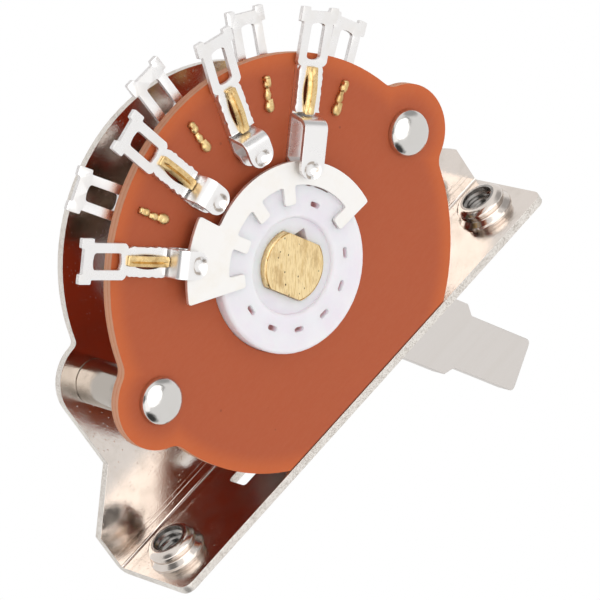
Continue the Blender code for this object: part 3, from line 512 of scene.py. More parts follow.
@dataclass(frozen=True)
class ShearedEdge(Finish):
    """Cut edge of a plated sheet, torn into bright specks and dull pits."""

    pit: Colour = (0.33, 0.29, 0.25)
    speck_size: float = 0.09 * MM
    cluster_size: float = 1.1 * MM
    relief_depth: float = 4 * MICRON

    def paint(self, graph: ShaderGraph) -> None:
        """Give the material its colour, shine and relief.

        Args:
            graph: The material's tree.
        """
        place = graph.position()
        torn = graph.noise(place, self.speck_size, 3.0, 0.7)
        clusters = graph.noise(place, self.cluster_size)
        pits = graph.ease(graph.sum("MULTIPLY_ADD", clusters, 0.25, torn), 0.68, 0.50)
        graph.coat("Base Color", graph.blend(pits, self.colour, self.pit))
        graph.coat("Roughness", graph.ease(torn, 0.3, 0.7, self.roughness, self.roughness + 0.2))
        graph.coat("Normal", graph.relief(torn, self.relief_depth))


@dataclass(frozen=True)
class PaperPhenolic(Finish):
    """Resin-bound paper board: smooth faces, a painted warm glow near the outline, layered edges, painted deep-red
    shade on the face toward the plate, and a painted shadow line along the flat edge.
    """

    # Painted glow: a lighter, warmer colour towards the outline, standing in for light that passes through the thin
    # board.
    glow: Colour = (0.54, 0.125, 0.040)
    # Painted shade: deep red for the face toward the plate, standing in for its shade and the red light bouncing
    # between board and plate.
    shaded: Colour = (0.60, 0.070, 0.024)
    speck: Colour = (0.16, 0.05, 0.03)
    # Painted shadow: dark line along the flat edge, where the board meets the flange.
    edge_shadow: Colour = (0.10, 0.02, 0.012)
    layer_light: Colour = (0.64, 0.33, 0.21)
    layer_dark: Colour = (0.55, 0.22, 0.115)
    disc_radius: float = 17.42 * MM
    ear_radius: float = 4.18 * MM
    ear_centre: float = 15.85 * MM
    glow_width: float = 1.9 * MM
    flat_depth: float = 0.96 * MM
    edge_shadow_height: float = 0.13 * MM
    layer_height: float = 0.42 * MM
    layer_waver: float = 0.10 * MM
    fibre_size: float = 0.22 * MM
    fibre_depth: float = 0.8 * MICRON
    hollow_size: float = 2.5 * MM
    hollow_depth: float = 5 * MICRON

    def edge_distance(self, graph: ShaderGraph, place: Socket) -> Socket:
        """Measure how far a point lies inside the board's outline.

        Args:
            graph: The material's tree.
            place: The point in metres.

        Returns:
            The distance from the outline in metres.
        """
        inside = graph.sum("SUBTRACT", self.disc_radius, graph.axis_distance(place))
        for across in (-self.ear_centre, self.ear_centre):
            in_ear = graph.sum("SUBTRACT", self.ear_radius, graph.axis_distance(place, across))
            inside = graph.sum("MAXIMUM", inside, in_ear)
        return inside

    def face(self, graph: ShaderGraph, place: Socket, fibres: Socket) -> Socket:
        """Colour the board's faces, with a painted glow near the outline, painted shade on the face toward the plate
        and a painted shadow line along the flat edge.

        Args:
            graph: The material's tree.
            place: The point in metres.
            fibres: The pattern of the paper's fibres.

        Returns:
            The colour.
        """
        inside = self.edge_distance(graph, place)
        clouds = graph.sum("SUBTRACT", graph.noise(place, 7.0 * MM), 0.5)
        # Painted glow towards the outline, mixed with random warm clouds of the board's own tone.
        warm = graph.sum("MULTIPLY_ADD", clouds, 0.35, graph.ease(inside, self.glow_width, 0.0), clamp=True)
        colour = graph.blend(warm, self.colour, self.glow)
        colour = graph.blend(graph.ease(fibres, 0.25, 0.75, 0.0, 0.07), colour, self.layer_dark)
        colour = graph.blend(graph.product(graph.specks(place, 2.6 * MM, 0.06), 0.45), colour, self.speck)
        # Painted shadow line along the flat edge.
        low, high = -self.flat_depth - self.edge_shadow_height, -self.flat_depth
        colour = graph.blend(graph.ease(graph.axis(place, 2), low, high, 0.0, 0.85), colour, self.edge_shadow)
        # Painted shade on the face toward the plate, kept away from the outline.
        far_face = graph.ease(graph.axis(graph.facing(), 1), 0.4, 0.9)
        well_inside = graph.ease(inside, self.glow_width, 2 * self.glow_width)
        return graph.blend(graph.product(far_face, well_inside), colour, self.shaded)

    def layers(self, graph: ShaderGraph, place: Socket) -> Socket:
        """Colour the pressed layers that show on the board's edges.

        Args:
            graph: The material's tree.
            place: The point in metres.

        Returns:
            The colour.
        """
        waver = graph.product(graph.noise(place, 1.2 * MM), self.layer_waver)
        depth = graph.sum("ADD", graph.axis(place, 1), waver)
        waves = graph.sum("SINE", graph.product(depth, 2 * math.pi / self.layer_height))
        streaks = graph.blend(graph.ease(waves, -0.8, 0.8), self.layer_dark, self.layer_light)
        return graph.blend(graph.noise(place, 0.3 * MM, 3.0), streaks, self.layer_light)

    def paint(self, graph: ShaderGraph) -> None:
        """Give the material its colour, shine and relief.

        Args:
            graph: The material's tree.
        """
        place = graph.position()
        fibres = graph.noise(graph.stretch(place, (0.35, 1.0, 1.0)), self.fibre_size, 3.0, 0.65)
        edge = graph.ease(graph.sum("ABSOLUTE", graph.axis(graph.facing(), 1)), 0.80, 0.45)
        graph.coat("Base Color", graph.blend(edge, self.face(graph, place, fibres), self.layers(graph, place)))
        graph.coat("Roughness", graph.ease(edge, 0.0, 1.0, self.roughness, self.roughness + 0.25))
        graph.coat("Specular IOR Level", 0.20)
        graph.coat("Subsurface Weight", 0.12)
        graph.coat("Subsurface Radius", (1.0, 0.35, 0.15))
        graph.coat("Subsurface Scale", 0.6 * MM)
        hollows = graph.relief(graph.noise(place, self.hollow_size), self.hollow_depth)
        graph.coat("Normal", graph.relief(fibres, self.fibre_depth, hollows))


@dataclass(frozen=True)
class MouldedNylon(Finish):
    """White moulded plastic with faint flow marks, rubbed rings round the shaft, painted pink shade and glow in the
    pockets, and a painted shadow line at the blade's radius.
    """

    shade: Colour = (0.72, 0.62, 0.74)
    # Painted shade and glow: darker pink for the floors of the pockets.
    pocket_shade: Colour = (0.66, 0.40, 0.40)
    # Painted shadow: dark line in the gap at the blade's radius.
    gap_shadow: Colour = (0.10, 0.02, 0.012)
    face_depth: float = 1.45 * MM
    floor_depth: float = 0.80 * MM
    well_radius: float = 5.30 * MM
    well_half_width: float = 1.0 * MM
    rub_pitch: float = 0.45 * MM
    rub_depth: float = 2 * MICRON
    flow_size: float = 2.4 * MM
    flow_depth: float = 14 * MICRON
    blade_radius: float = 6.73 * MM
    gap_half_width: float = 0.075 * MM
    gap_across: float = -6.0 * MM
    gap_depth: float = 18.2 * MM
    gap_reach: float = 1.9 * MM

    def paint(self, graph: ShaderGraph) -> None:
        """Give the material its colour, shine and relief.

        Args:
            graph: The material's tree.
        """
        place = graph.position()
        radius = graph.axis_distance(place)
        rings = graph.ease(graph.sum("SINE", graph.product(radius, 2 * math.pi / self.rub_pitch)), -1.0, 1.0)
        flow = graph.noise(place, self.flow_size, 3.0, 0.6)
        colour = graph.blend(graph.ease(flow, 0.35, 0.80, 0.0, 0.30), self.colour, self.shade)
        # Painted shade and glow in the pockets.
        sunk = graph.ease(graph.off_board(place), self.face_depth, self.floor_depth)
        in_pocket_shade = graph.product(sunk, graph.band(radius, self.well_radius, self.well_half_width))
        colour = graph.blend(in_pocket_shade, colour, self.pocket_shade)
        # Painted shadow: a broken dark line at the blade's radius, near one spot only.
        off_gap = graph.axis_distance(place, self.gap_across, self.gap_depth)
        near_gap = graph.ease(off_gap, self.gap_reach, self.gap_reach * 0.8)
        broken = graph.ease(graph.noise(place, 0.9 * MM, 1.0), 0.40, 0.52)
        in_gap_shadow = graph.product(graph.band(radius, self.blade_radius, self.gap_half_width), near_gap, broken)
        graph.coat("Base Color", graph.blend(in_gap_shadow, colour, self.gap_shadow))
        graph.coat("Roughness", graph.ease(flow, 0.3, 0.7, self.roughness, self.roughness + 0.12))
        graph.coat("Subsurface Weight", 0.70)
        graph.coat("Subsurface Radius", (1.0, 0.75, 0.85))
        graph.coat("Subsurface Scale", 1.7 * MM)
        graph.coat("Normal", graph.relief(flow, self.flow_depth, graph.relief(rings, self.rub_depth)))


@dataclass(frozen=True)
class BrushedBrass(Finish):
    """Bare brass, brushed one way, with dark pits and brown tarnish."""

    tarnish: Colour = (0.42, 0.22, 0.06)
    streak: Colour = (0.62, 0.40, 0.15)
    pit: Colour = (0.06, 0.035, 0.02)
    grain: Grain = Grain.ALONG_Z
    rim_radius: float = 0.0
    rim_half_width: float = 0.07 * MM
    brush_turn: float = -37.5
    brush_size: float = 0.10 * MM
    brush_depth: float = 6 * MICRON
    pit_size: float = 1.3 * MM
    pit_share: float = 0.10
    pit_depth: float = 30 * MICRON

    def paint(self, graph: ShaderGraph) -> None:
        """Give the material its colour, shine and relief.

        Args:
            graph: The material's tree.
        """
        place = graph.position()
        along = graph.turned(place, self.brush_turn)
        brush = graph.noise(graph.stretch(along, self.grain.value), self.brush_size, 3.0, 0.6)
        clouds = graph.noise(graph.stretch(along, (1.0, 1.0, 0.5)), 0.8 * MM, 3.0, 0.6)
        pits = graph.specks(graph.stretch(along, (1.0, 1.0, 0.6)), self.pit_size, self.pit_share)
        dull = graph.ease(graph.product(brush, clouds), 0.25, 0.14, 0.0, 0.55)
        if self.rim_radius > 0.0:
            ring = graph.band(graph.axis_distance(place), self.rim_radius, self.rim_half_width)
            dull = graph.sum("MAXIMUM", dull, graph.product(ring, graph.ease(clouds, 0.35, 0.55, 0.35, 1.0)))
        colour = graph.blend(graph.ease(brush, 0.42, 0.70, 0.0, 0.75), self.colour, self.streak)
        colour = graph.blend(dull, colour, self.tarnish)
        graph.coat("Base Color", graph.blend(pits, colour, self.pit))
        graph.coat("Roughness", graph.ease(brush, 0.3, 0.7, self.roughness, self.roughness + 0.15))
        brushed = graph.relief(brush, self.brush_depth)
        graph.coat("Normal", graph.relief(graph.sum("SUBTRACT", 1.0, pits), self.pit_depth, brushed))


@dataclass(frozen=True)
class StudioPaper(Finish):
    """Pale floor that is seen from above only, so that a low camera looks through it.

    Metal sees the white background past it, and lamps shine through it from below.
    """

    def paint(self, graph: ShaderGraph) -> None:
        """Give the material its colour, shine and relief.

        Args:
            graph: The material's tree.
        """
        shade = tuple(level * 0.97 for level in self.colour)
        graph.coat("Base Color", graph.blend(graph.noise(graph.position(), 3.0 * MM, 3.0), self.colour, shade))
        graph.coat("Roughness", self.roughness)
        graph.coat("Specular IOR Level", 0.0)
        path = graph.add("ShaderNodeLightPath").outputs
        unseen = graph.add("ShaderNodeNewGeometry").outputs["Backfacing"]
        for ray in ("Is Shadow Ray", "Is Glossy Ray", "Is Transmission Ray"):
            unseen = graph.sum("MAXIMUM", unseen, path[ray])
        clear = graph.add("ShaderNodeBsdfTransparent")
        choice = graph.add("ShaderNodeMixShader")
        for target, source in zip(choice.inputs, (unseen, graph.shader.outputs[0], clear.outputs[0])):
            graph.feed(target, source)
        graph.feed(graph.output.inputs["Surface"], choice.outputs[0])


SHEET_NICKEL = FoldedNickel(
    "bright nickel sheet", (0.76, 0.69, 0.635), 0.09, Slot.BRACKET_NICKEL,
    cloud=0.09, peel_size=0.14 * MM, peel_depth=5.5 * MICRON,
)
SHEARED_NICKEL = ShearedEdge(
    "sheared nickel edge", (0.84, 0.80, 0.75), 0.34, Slot.BRACKET_NICKEL, pit=(0.55, 0.50, 0.45)
)
# Bare steel of the tapped threads, darkened further as painted shade inside the bores.
SHADED_BORE_STEEL = PlatedSheet(
    "tapped steel thread", (0.40, 0.38, 0.36), 0.22, Slot.BRACKET_NICKEL,
    tarnish=(0.12, 0.10, 0.09), tarnish_share=0.7, peel_size=0.12 * MM,
)
SPACER_NICKEL = PlatedSheet(
    "drawn nickel tube", (0.48, 0.44, 0.395), 0.13, Slot.BRACKET_NICKEL,
    tarnish=(0.20, 0.16, 0.12), tarnish_share=0.55,
    peel_size=0.25 * MM, peel_depth=2.5 * MICRON, wave_depth=10.0 * MICRON,
)
RIVET_STEEL = PlatedSheet(
    "polished rivet steel", (0.70, 0.68, 0.655), 0.10, Slot.RIVET_STEEL,
    tarnish_share=0.10, peel_size=0.35 * MM, peel_depth=2.2 * MICRON, wave_size=0.65 * MM, wave_depth=26.0 * MICRON,
)
SATIN_NICKEL = PlatedSheet(
    "satin nickel", (0.70, 0.662, 0.632), 0.42, Slot.LEVER_NICKEL,
    tarnish_share=0.12, grain=Grain.ALONG_X, peel_size=0.18 * MM, peel_depth=3.0 * MICRON, wave_depth=8.0 * MICRON,
)
SILVER_PLATE = PlatedSheet(
    "bright silver plate", (0.93, 0.915, 0.905), 0.24, Slot.SILVER,
    tarnish=(0.80, 0.72, 0.62), cloud=0.08, peel_depth=1.4 * MICRON, wave_size=1.8 * MM, wave_depth=12.0 * MICRON,
)
SPRING_SILVER = DimpledSpring(
    "bright spring silver", (0.94, 0.925, 0.915), 0.26, Slot.SILVER,
    tarnish=(0.85, 0.80, 0.75), tarnish_share=0.10, cloud=0.05,
    peel_size=0.25 * MM, peel_depth=0.8 * MICRON, wave_size=1.2 * MM, wave_depth=8.0 * MICRON,
)
SILVER_EDGE = ShearedEdge("sheared silver edge", (0.86, 0.84, 0.83), 0.32, Slot.SILVER, pit=(0.60, 0.57, 0.56))
MATTE_SILVER = PlatedSheet(
    "matte silver plate", (0.925, 0.905, 0.88), 0.50, Slot.MATTE_SILVER,
    tarnish=(0.86, 0.80, 0.70), tarnish_share=0.30,
    peel_size=0.16 * MM, peel_depth=3.0 * MICRON, wave_depth=5.0 * MICRON,
)
# Painted shade: the rear blade's silver made darker and browner for the shade in the gap between board and plate.
SHADED_REAR_SILVER = PlatedSheet(
    "worn silver plate", (0.46, 0.37, 0.31), 0.24, Slot.MATTE_SILVER,
    tarnish=(0.35, 0.27, 0.20), tarnish_share=0.5, peel_size=0.16 * MM, wave_depth=8.0 * MICRON,
)
PHENOLIC = PaperPhenolic("brown paper phenolic", screen_colour(174, 87, 56), 0.46, Slot.PHENOLIC, 0.0)
NYLON = MouldedNylon("white moulded nylon", (0.80, 0.785, 0.82), 0.42, Slot.NYLON, 0.0)
STAPLE_BRASS = BrushedBrass(
    "folded brass", (0.84, 0.62, 0.31), 0.24, Slot.BRASS,
    grain=Grain.NONE, brush_turn=0.0, brush_size=0.5 * MM, pit_share=0.02,
)
SHAFT_BRASS = BrushedBrass(
    "brushed brass", (1.0, 0.80, 0.46), 0.30, Slot.BRASS,
    rim_radius=2.90 * MM, brush_size=0.06 * MM, pit_size=0.5 * MM, pit_share=0.14,
)
SPRING_STEEL = PlatedSheet("spring steel", (0.56, 0.56, 0.57), 0.30, Slot.SPRING_STEEL, grain=Grain.ALONG_Z)
FLOOR_PAPER = StudioPaper("pale floor paper", (0.90, 0.895, 0.89), 0.9, metallic=0.0)


def drawn(mesh: Mesh, corners: list[Place], closed: bool = True) -> tuple[list[bmesh.types.BMVert], list[Edge]]:
    """Draw a line through corners.

    Args:
        mesh: The mesh to draw in.
        corners: The corners in order.
        closed: True to join the last corner to the first.

    Returns:
        The line's points and its edges.
    """
    points = [mesh.verts.new(corner) for corner in corners]
    following = points[1:] + points[:1] if closed else points[1:]
    return points, [mesh.edges.new(pair) for pair in zip(points, following)]


def move_into(mesh: Mesh, other: Mesh) -> None:
    """Move the whole shape of one mesh into another.

    Args:
        mesh: The mesh that takes it.
        other: The mesh that is used up.
    """
    data = bpy.data.meshes.new("moved")
    other.to_mesh(data)
    other.free()
    mesh.from_mesh(data)
    bpy.data.meshes.remove(data)


@dataclass
class SubAssembly:
    """Shared ways to copy, round and hand over the pieces of a sub-assembly."""

    body: Body = Body.FRAME
    merge_distance: float = 0.0005 * MM
    flat_angle: float = math.radians(0.4)
    sharp_angle: float = math.radians(28.0)
    shading_angle: float = math.radians(42.0)

    def copy_of(self, node: str, sheet: float | None = None) -> Mesh:
        """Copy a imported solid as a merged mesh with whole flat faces.

        Args:
            node: The solid's node.
            sheet: Thickness of a stamped sheet, whose cut faces then get the second material.

        Returns:
            The merged mesh.
        """
        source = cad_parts[node].data
        plain = bpy.data.meshes.new(node + "_copy")
        plain.from_pydata([point.co for point in source.vertices], [], [face.vertices for face in source.polygons])
        mesh = bmesh.new()
        mesh.from_mesh(plain)
        bpy.data.meshes.remove(plain)
        bmesh.ops.remove_doubles(mesh, verts=mesh.verts, dist=self.merge_distance)
        if sheet is not None:
            self.mark_cut_faces(mesh, sheet)
        bmesh.ops.dissolve_limit(
            mesh, angle_limit=self.flat_angle, use_dissolve_boundaries=False,
            verts=mesh.verts, edges=mesh.edges, delimit={"MATERIAL"},
        )
        return mesh

    def mark_cut_faces(self, mesh: Mesh, sheet: float) -> None:
        """Give the second material to faces with more metal behind them than the sheet has.

        Args:
            mesh: The merged mesh.
            sheet: The sheet's thickness.
        """
        mesh.normal_update()
        tree = BVHTree.FromBMesh(mesh)
        for face in mesh.faces:
            start = face.calc_center_median() - face.normal * sheet * 0.02
            behind = tree.ray_cast(start, -face.normal, sheet * 1.5)[3]
            face.material_index = 1 if behind is None else 0

    def is_sharp(self, edge: Edge) -> bool:
        """Tell whether two faces meet sharply at an edge."""
        return len(edge.link_faces) == 2 and edge.calc_face_angle(0.0) > self.sharp_angle

    def bevel(self, mesh: Mesh, edges: list[Edge], width: float, segments: int) -> None:
        """Round some edges of a mesh.

        Args:
            mesh: The mesh to change.
            edges: The edges.
            width: Width of the rounding.
            segments: Faces across it.
        """
        bmesh.ops.bevel(
            mesh, geom=edges, offset=width, offset_type="OFFSET", affect="EDGES", segments=segments,
            profile=0.5, material=-1, clamp_overlap=True, loop_slide=True,
        )

    def round_edges(self, mesh: Mesh, width: float, segments: int = 2) -> None:
        """Round all sharp edges of a mesh."""
        self.bevel(mesh, [edge for edge in mesh.edges if self.is_sharp(edge)], width, segments)

    def piece(self, name: str, mesh: Mesh, finishes: list[Finish], *nodes: str) -> None:
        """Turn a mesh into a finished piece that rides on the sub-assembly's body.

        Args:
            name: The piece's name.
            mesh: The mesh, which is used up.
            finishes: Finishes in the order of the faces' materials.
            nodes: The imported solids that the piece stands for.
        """
        bmesh.ops.recalc_face_normals(mesh, faces=mesh.faces)
        data = bpy.data.meshes.new(name)
        mesh.to_mesh(data)
        mesh.free()
        for finish in finishes:
            data.materials.append(finish.material())
        data.shade_smooth()
        data.set_sharp_from_angle(angle=self.shading_angle)
        item = add_object(name, data)
        item.modifiers.new("even_shading", "WEIGHTED_NORMAL").keep_sharp = True
        body, slot = self.body, finishes[0].slot
        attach(item, body.value)
        if nodes:
            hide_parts(*nodes)
        log.info("%s rides on %s", name, body.value)

    def rounded(self, node: str, width: float, finish: Finish, segments: int = 2) -> None:
        """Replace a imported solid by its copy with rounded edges.

        Args:
            node: The solid's node.
            width: Width of the rounding.
            finish: The finish.
            segments: Faces across each rounding.
        """
        mesh = self.copy_of(node)
        self.round_edges(mesh, width, segments)
        self.piece(node + "_dressed", mesh, [finish], node)

    def dress(self, node: str, finish: Finish) -> None:
        """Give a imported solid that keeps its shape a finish.

        Args:
            node: The solid's node.
            finish: The finish.
        """
        item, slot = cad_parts[node], finish.slot
        item.data.materials.clear()
        item.data.materials.append(finish.material())
        log.info("%s keeps its solid", node)


@dataclass
class Bracket(SubAssembly):
    """Folded nickel-plated bracket with two threaded bosses."""

    sheet: float = 0.75 * MM
    edge_rounding: float = 0.07 * MM
    hole_spacing: float = 41.28 * MM
    boss_height: float = 1.60 * MM
    bore_radius: float = 1.37 * MM
    entry_radius: float = 1.80 * MM
    entry_depth: float = 0.05 * MM
    thread_start: float = 0.12 * MM
    thread_depth: float = 0.20 * MM
    thread_sink: float = 0.05 * MM
    thread_pitch: float = 0.62 * MM
    ridge_share: float = 0.42
    thread_turns: int = 3
    steps_per_turn: int = 40

    def mark_bores(self, mesh: Mesh) -> None:
        """Give the third material, bare steel with painted shade, to the walls of both tapped bores.

        Args:
            mesh: The bracket's mesh.
        """
        for face in mesh.faces:
            middle = face.calc_center_median()
            off_axis = math.hypot(abs(middle.x) - self.hole_spacing / 2, middle.y)
            if off_axis < (self.entry_radius + self.bore_radius) / 2 and middle.z < -self.entry_depth:
                face.material_index = 2

    def thread(self, side: int) -> Mesh:
        """Model the thread inside one boss as a ridge that winds along the bore.

        Args:
            side: -1 for the left boss and 1 for the right one.

        Returns:
            The closed ridge.
        """
        start = -self.sheet - self.boss_height + self.thread_start
        centre = Vector((side * self.hole_spacing / 2, 0.0, 0.0))
        half = self.thread_pitch * self.ridge_share
        root, tip = self.bore_radius + self.thread_sink, self.bore_radius - self.thread_depth
        section = ((root, 0.0), (tip, half * 0.75), (tip, half * 1.25), (root, half * 2))
        mesh = bmesh.new()
        points, edges = drawn(mesh, [(centre.x + radius, 0.0, start + height) for radius, height in section])
        bmesh.ops.spin(
            mesh, geom=points + edges, cent=centre, axis=(0, 0, 1),
            dvec=(0, 0, self.thread_pitch / self.steps_per_turn),
            angle=2 * math.pi * self.thread_turns, steps=self.thread_turns * self.steps_per_turn,
        )
        bmesh.ops.holes_fill(mesh, edges=[edge for edge in mesh.edges if edge.is_boundary], sides=4)
        return mesh

    def build(self) -> None:
        """Round and dress the bracket, and thread its bosses."""
        mesh = self.copy_of("bracket", self.sheet)
        self.round_edges(mesh, self.edge_rounding)
        self.mark_bores(mesh)
        self.piece("bracket_dressed", mesh, [SHEET_NICKEL, SHEARED_NICKEL, SHADED_BORE_STEEL], "bracket")
        for side, word in ((-1, "left"), (1, "right")):
            self.piece("thread_" + word, self.thread(side), [SHADED_BORE_STEEL])


@dataclass
class Wafer(SubAssembly):
    """Punched board that holds the contacts."""

    edge_rounding: float = 0.09 * MM

    def build(self) -> None:
        """Round and dress the board."""
        self.rounded("wafer", self.edge_rounding, PHENOLIC)


@dataclass
class RivetsAndSpacers(SubAssembly):
    """Two domed rivets and the tubes that hold the board off the plate."""

    spacing: float = 31.94 * MM
    head_radius: float = 2.0 * MM
    head_height: float = 1.15 * MM
    head_rim: float = 0.25 * MM
    head_steps: int = 16
    shank_radius: float = 1.05 * MM
    soft_edge: float = 0.06 * MM
    tail_radius: float = 1.75 * MM
    tail_height: float = 0.55 * MM
    tail_flat: float = 0.62
    tail_steps: int = 6
    tail_sink: float = 0.02 * MM
    tube_radius: float = 1.94 * MM
    tube_bore: float = 1.25 * MM
    tube_edge: float = 0.10 * MM
    segments: int = 72

    def rivet(self, low: Vector, high: Vector) -> Outline:
        """Trace a rivet from the middle of its dome, down its shank, to its tail.

        Args:
            low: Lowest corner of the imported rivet.
            high: Highest corner of it.

        Returns:
            Points of (radius, depth).
        """
        seat, soft = low.y + self.head_height, self.soft_edge
        dome = self.head_height - self.head_rim
        profile = [(0.0, low.y)]
        for index in range(1, self.head_steps + 1):
            lean = math.radians(90 * index / self.head_steps)
            profile.append((self.head_radius * math.sin(lean), seat - self.head_rim - dome * math.cos(lean)))
        profile += [(self.head_radius, seat - soft), (self.head_radius - soft, seat), (self.shank_radius, seat)]
        tail = high.y - self.tail_height
        profile += [(self.shank_radius, tail), (self.tail_radius - soft, tail), (self.tail_radius, tail + soft)]
        for index in range(self.tail_steps + 1):
            lean = math.radians(90 * index / self.tail_steps)
            reach = self.tail_radius * (self.tail_flat + (1.0 - self.tail_flat) * math.cos(lean))
            profile.append((reach, tail + soft * 2 + (self.tail_height - soft * 2) * math.sin(lean)))
        return profile + [(0.0, high.y - self.tail_sink)]

    def spacer(self, low: Vector, high: Vector) -> Outline:
        """Trace the wall of a spacer with broken corners at both ends.

        Args:
            low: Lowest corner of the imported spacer.
            high: Highest corner of it.

        Returns:
            Points of (radius, depth).
        """
        edge, radius = self.tube_edge, self.tube_radius
        end = [(self.tube_bore, 0.0), (radius - edge, 0.0), (radius - edge * 0.3, edge * 0.3), (radius, edge)]
        profile = [(out, low.y + inset) for out, inset in end]
        return profile + [(out, high.y - inset) for out, inset in reversed(end)]

    def spun(self, profile: Outline, centre: Vector) -> Mesh:
        """Spin a profile about an axis along Y.

        Args:
            profile: Points of (radius, depth) in metres.
            centre: A point on the axis.

        Returns:
            The closed mesh.
        """
        mesh = bmesh.new()
        corners = [(centre.x + radius, depth, centre.z) for radius, depth in profile]
        points, edges = drawn(mesh, corners, closed=profile[0][0] > 0)
        bmesh.ops.spin(
            mesh, geom=points + edges, cent=centre, axis=(0, 1, 0), angle=2 * math.pi,
            steps=self.segments, use_merge=True,
        )
        bmesh.ops.remove_doubles(mesh, verts=mesh.verts, dist=0.1 * MICRON)
        return mesh

    def build(self) -> None:
        """Spin and dress both rivets and both spacers."""
        for side, word in ((-1, "left"), (1, "right")):
            centre = Vector((side * self.spacing / 2, 0.0, -SHAFT_DEPTH))
            for kind, profile, finish in (("rivet_", self.rivet, RIVET_STEEL), ("spacer_", self.spacer, SPACER_NICKEL)):
                node = kind + word
                self.piece(node + "_turned", self.spun(profile(*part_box(node)), centre), [finish], node)


@dataclass
class Contact(SubAssembly):
    """Shared placement and sizes of the pieces of one contact.

    They are modelled in the contact's own frame: X is the distance from the shaft's
    axis, Y the height over the face of the board, and Z goes across the contact.
    """

    front: bool = True
    index: int = 1
    count: int = 4
    pitch: float = 30.0
    front_start: float = 45.0
    rear_start: float = 60.0
    front_face: float = -4.75 * MM
    rear_face: float = -3.80 * MM
    lug_top: float = 0.74 * MM
    slit_middle: float = 14.4 * MM
    slit_half_length: float = 1.6 * MM
    slit_half_width: float = 0.58 * MM
    slit_steps: int = 32

    def node(self, kind: str) -> str:
        """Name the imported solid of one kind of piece."""
        return f"{'front' if self.front else 'rear'}_{kind}_{self.index}"

    def seat(self) -> Matrix:
        """Place the contact's own frame in the switch.

        Returns:
            The matrix from the contact's frame to the switch's.
        """
        start, face, way = self.rear_start, self.rear_face, 1.0
        if self.front:
            start, face, way = self.front_start, self.front_face, -1.0
        turn = math.radians(start + (self.index - 1) * self.pitch)
        level = Matrix.Translation((0.0, face, 0.0)) @ Matrix.Diagonal((1.0, way, 1.0, 1.0))
        return Matrix.Translation((0.0, 0.0, -SHAFT_DEPTH)) @ Matrix.Rotation(turn, 4, "Y") @ level

    def slit(self) -> Outline:
        """Trace the slit that lug and clip have under the staple.

        Returns:
            Its points as (radius, side).
        """
        turns = [2 * math.pi * step / self.slit_steps for step in range(self.slit_steps)]
        long, half = self.slit_half_length, self.slit_half_width
        return [(self.slit_middle + long * math.cos(turn), half * math.sin(turn)) for turn in turns]

    def thicken(self, mesh: Mesh, height: float) -> None:
        """Extrude a whole flat mesh upwards into a closed one.

        Args:
            mesh: The mesh to change.
            height: How far it rises.
        """
        raised = bmesh.ops.extrude_face_region(mesh, geom=mesh.faces[:], use_keep_orig=True)["geom"]
        points = [item for item in raised if isinstance(item, bmesh.types.BMVert)]
        bmesh.ops.translate(mesh, verts=points, vec=(0.0, height, 0.0))
        bmesh.ops.recalc_face_normals(mesh, faces=mesh.faces)

    def slab(
        self, outlines: list[Outline], low: float, high: float,
        across: tuple[float, ...] = (), along: tuple[float, ...] = (),
    ) -> Mesh:
        """Cut a flat piece of sheet from its outlines.

        Args:
            outlines: The outer outline and then any holes, as (radius, side).
            low: Height of the sheet's underside.
            high: Height of its top.
            across: Radii at which its faces are split.
            along: Sides at which its faces are split.

        Returns:
            The closed mesh.
        """
        mesh = bmesh.new()
        edges = []
        for outline in outlines:
            edges += drawn(mesh, [(radius, low, side) for radius, side in outline])[1]
        bmesh.ops.triangle_fill(mesh, edges=edges, use_beauty=True)
        cuts = [((radius, 0.0, 0.0), (1.0, 0.0, 0.0)) for radius in across]
        cuts += [((0.0, 0.0, side), (0.0, 0.0, 1.0)) for side in along]
        for place, normal in cuts:
            everything = [*mesh.verts, *mesh.edges, *mesh.faces]
            bmesh.ops.bisect_plane(mesh, geom=everything, dist=0.1 * MICRON, plane_co=place, plane_no=normal)
        self.thicken(mesh, high - low)
        return mesh

    def mark_sides(self, mesh: Mesh) -> None:
        """Give the second material to the faces that stand on edge.

        Args:
            mesh: The mesh, still flat.
        """
        mesh.normal_update()
        for face in mesh.faces:
            face.material_index = 1 if abs(face.normal.y) < 0.5 else 0

    def fit(self, kind: str, mesh: Mesh, finishes: list[Finish]) -> None:
        """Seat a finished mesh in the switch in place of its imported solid."""
        bmesh.ops.transform(mesh, matrix=self.seat(), verts=mesh.verts)
        self.piece(self.node(kind) + "_dressed", mesh, finishes, self.node(kind))


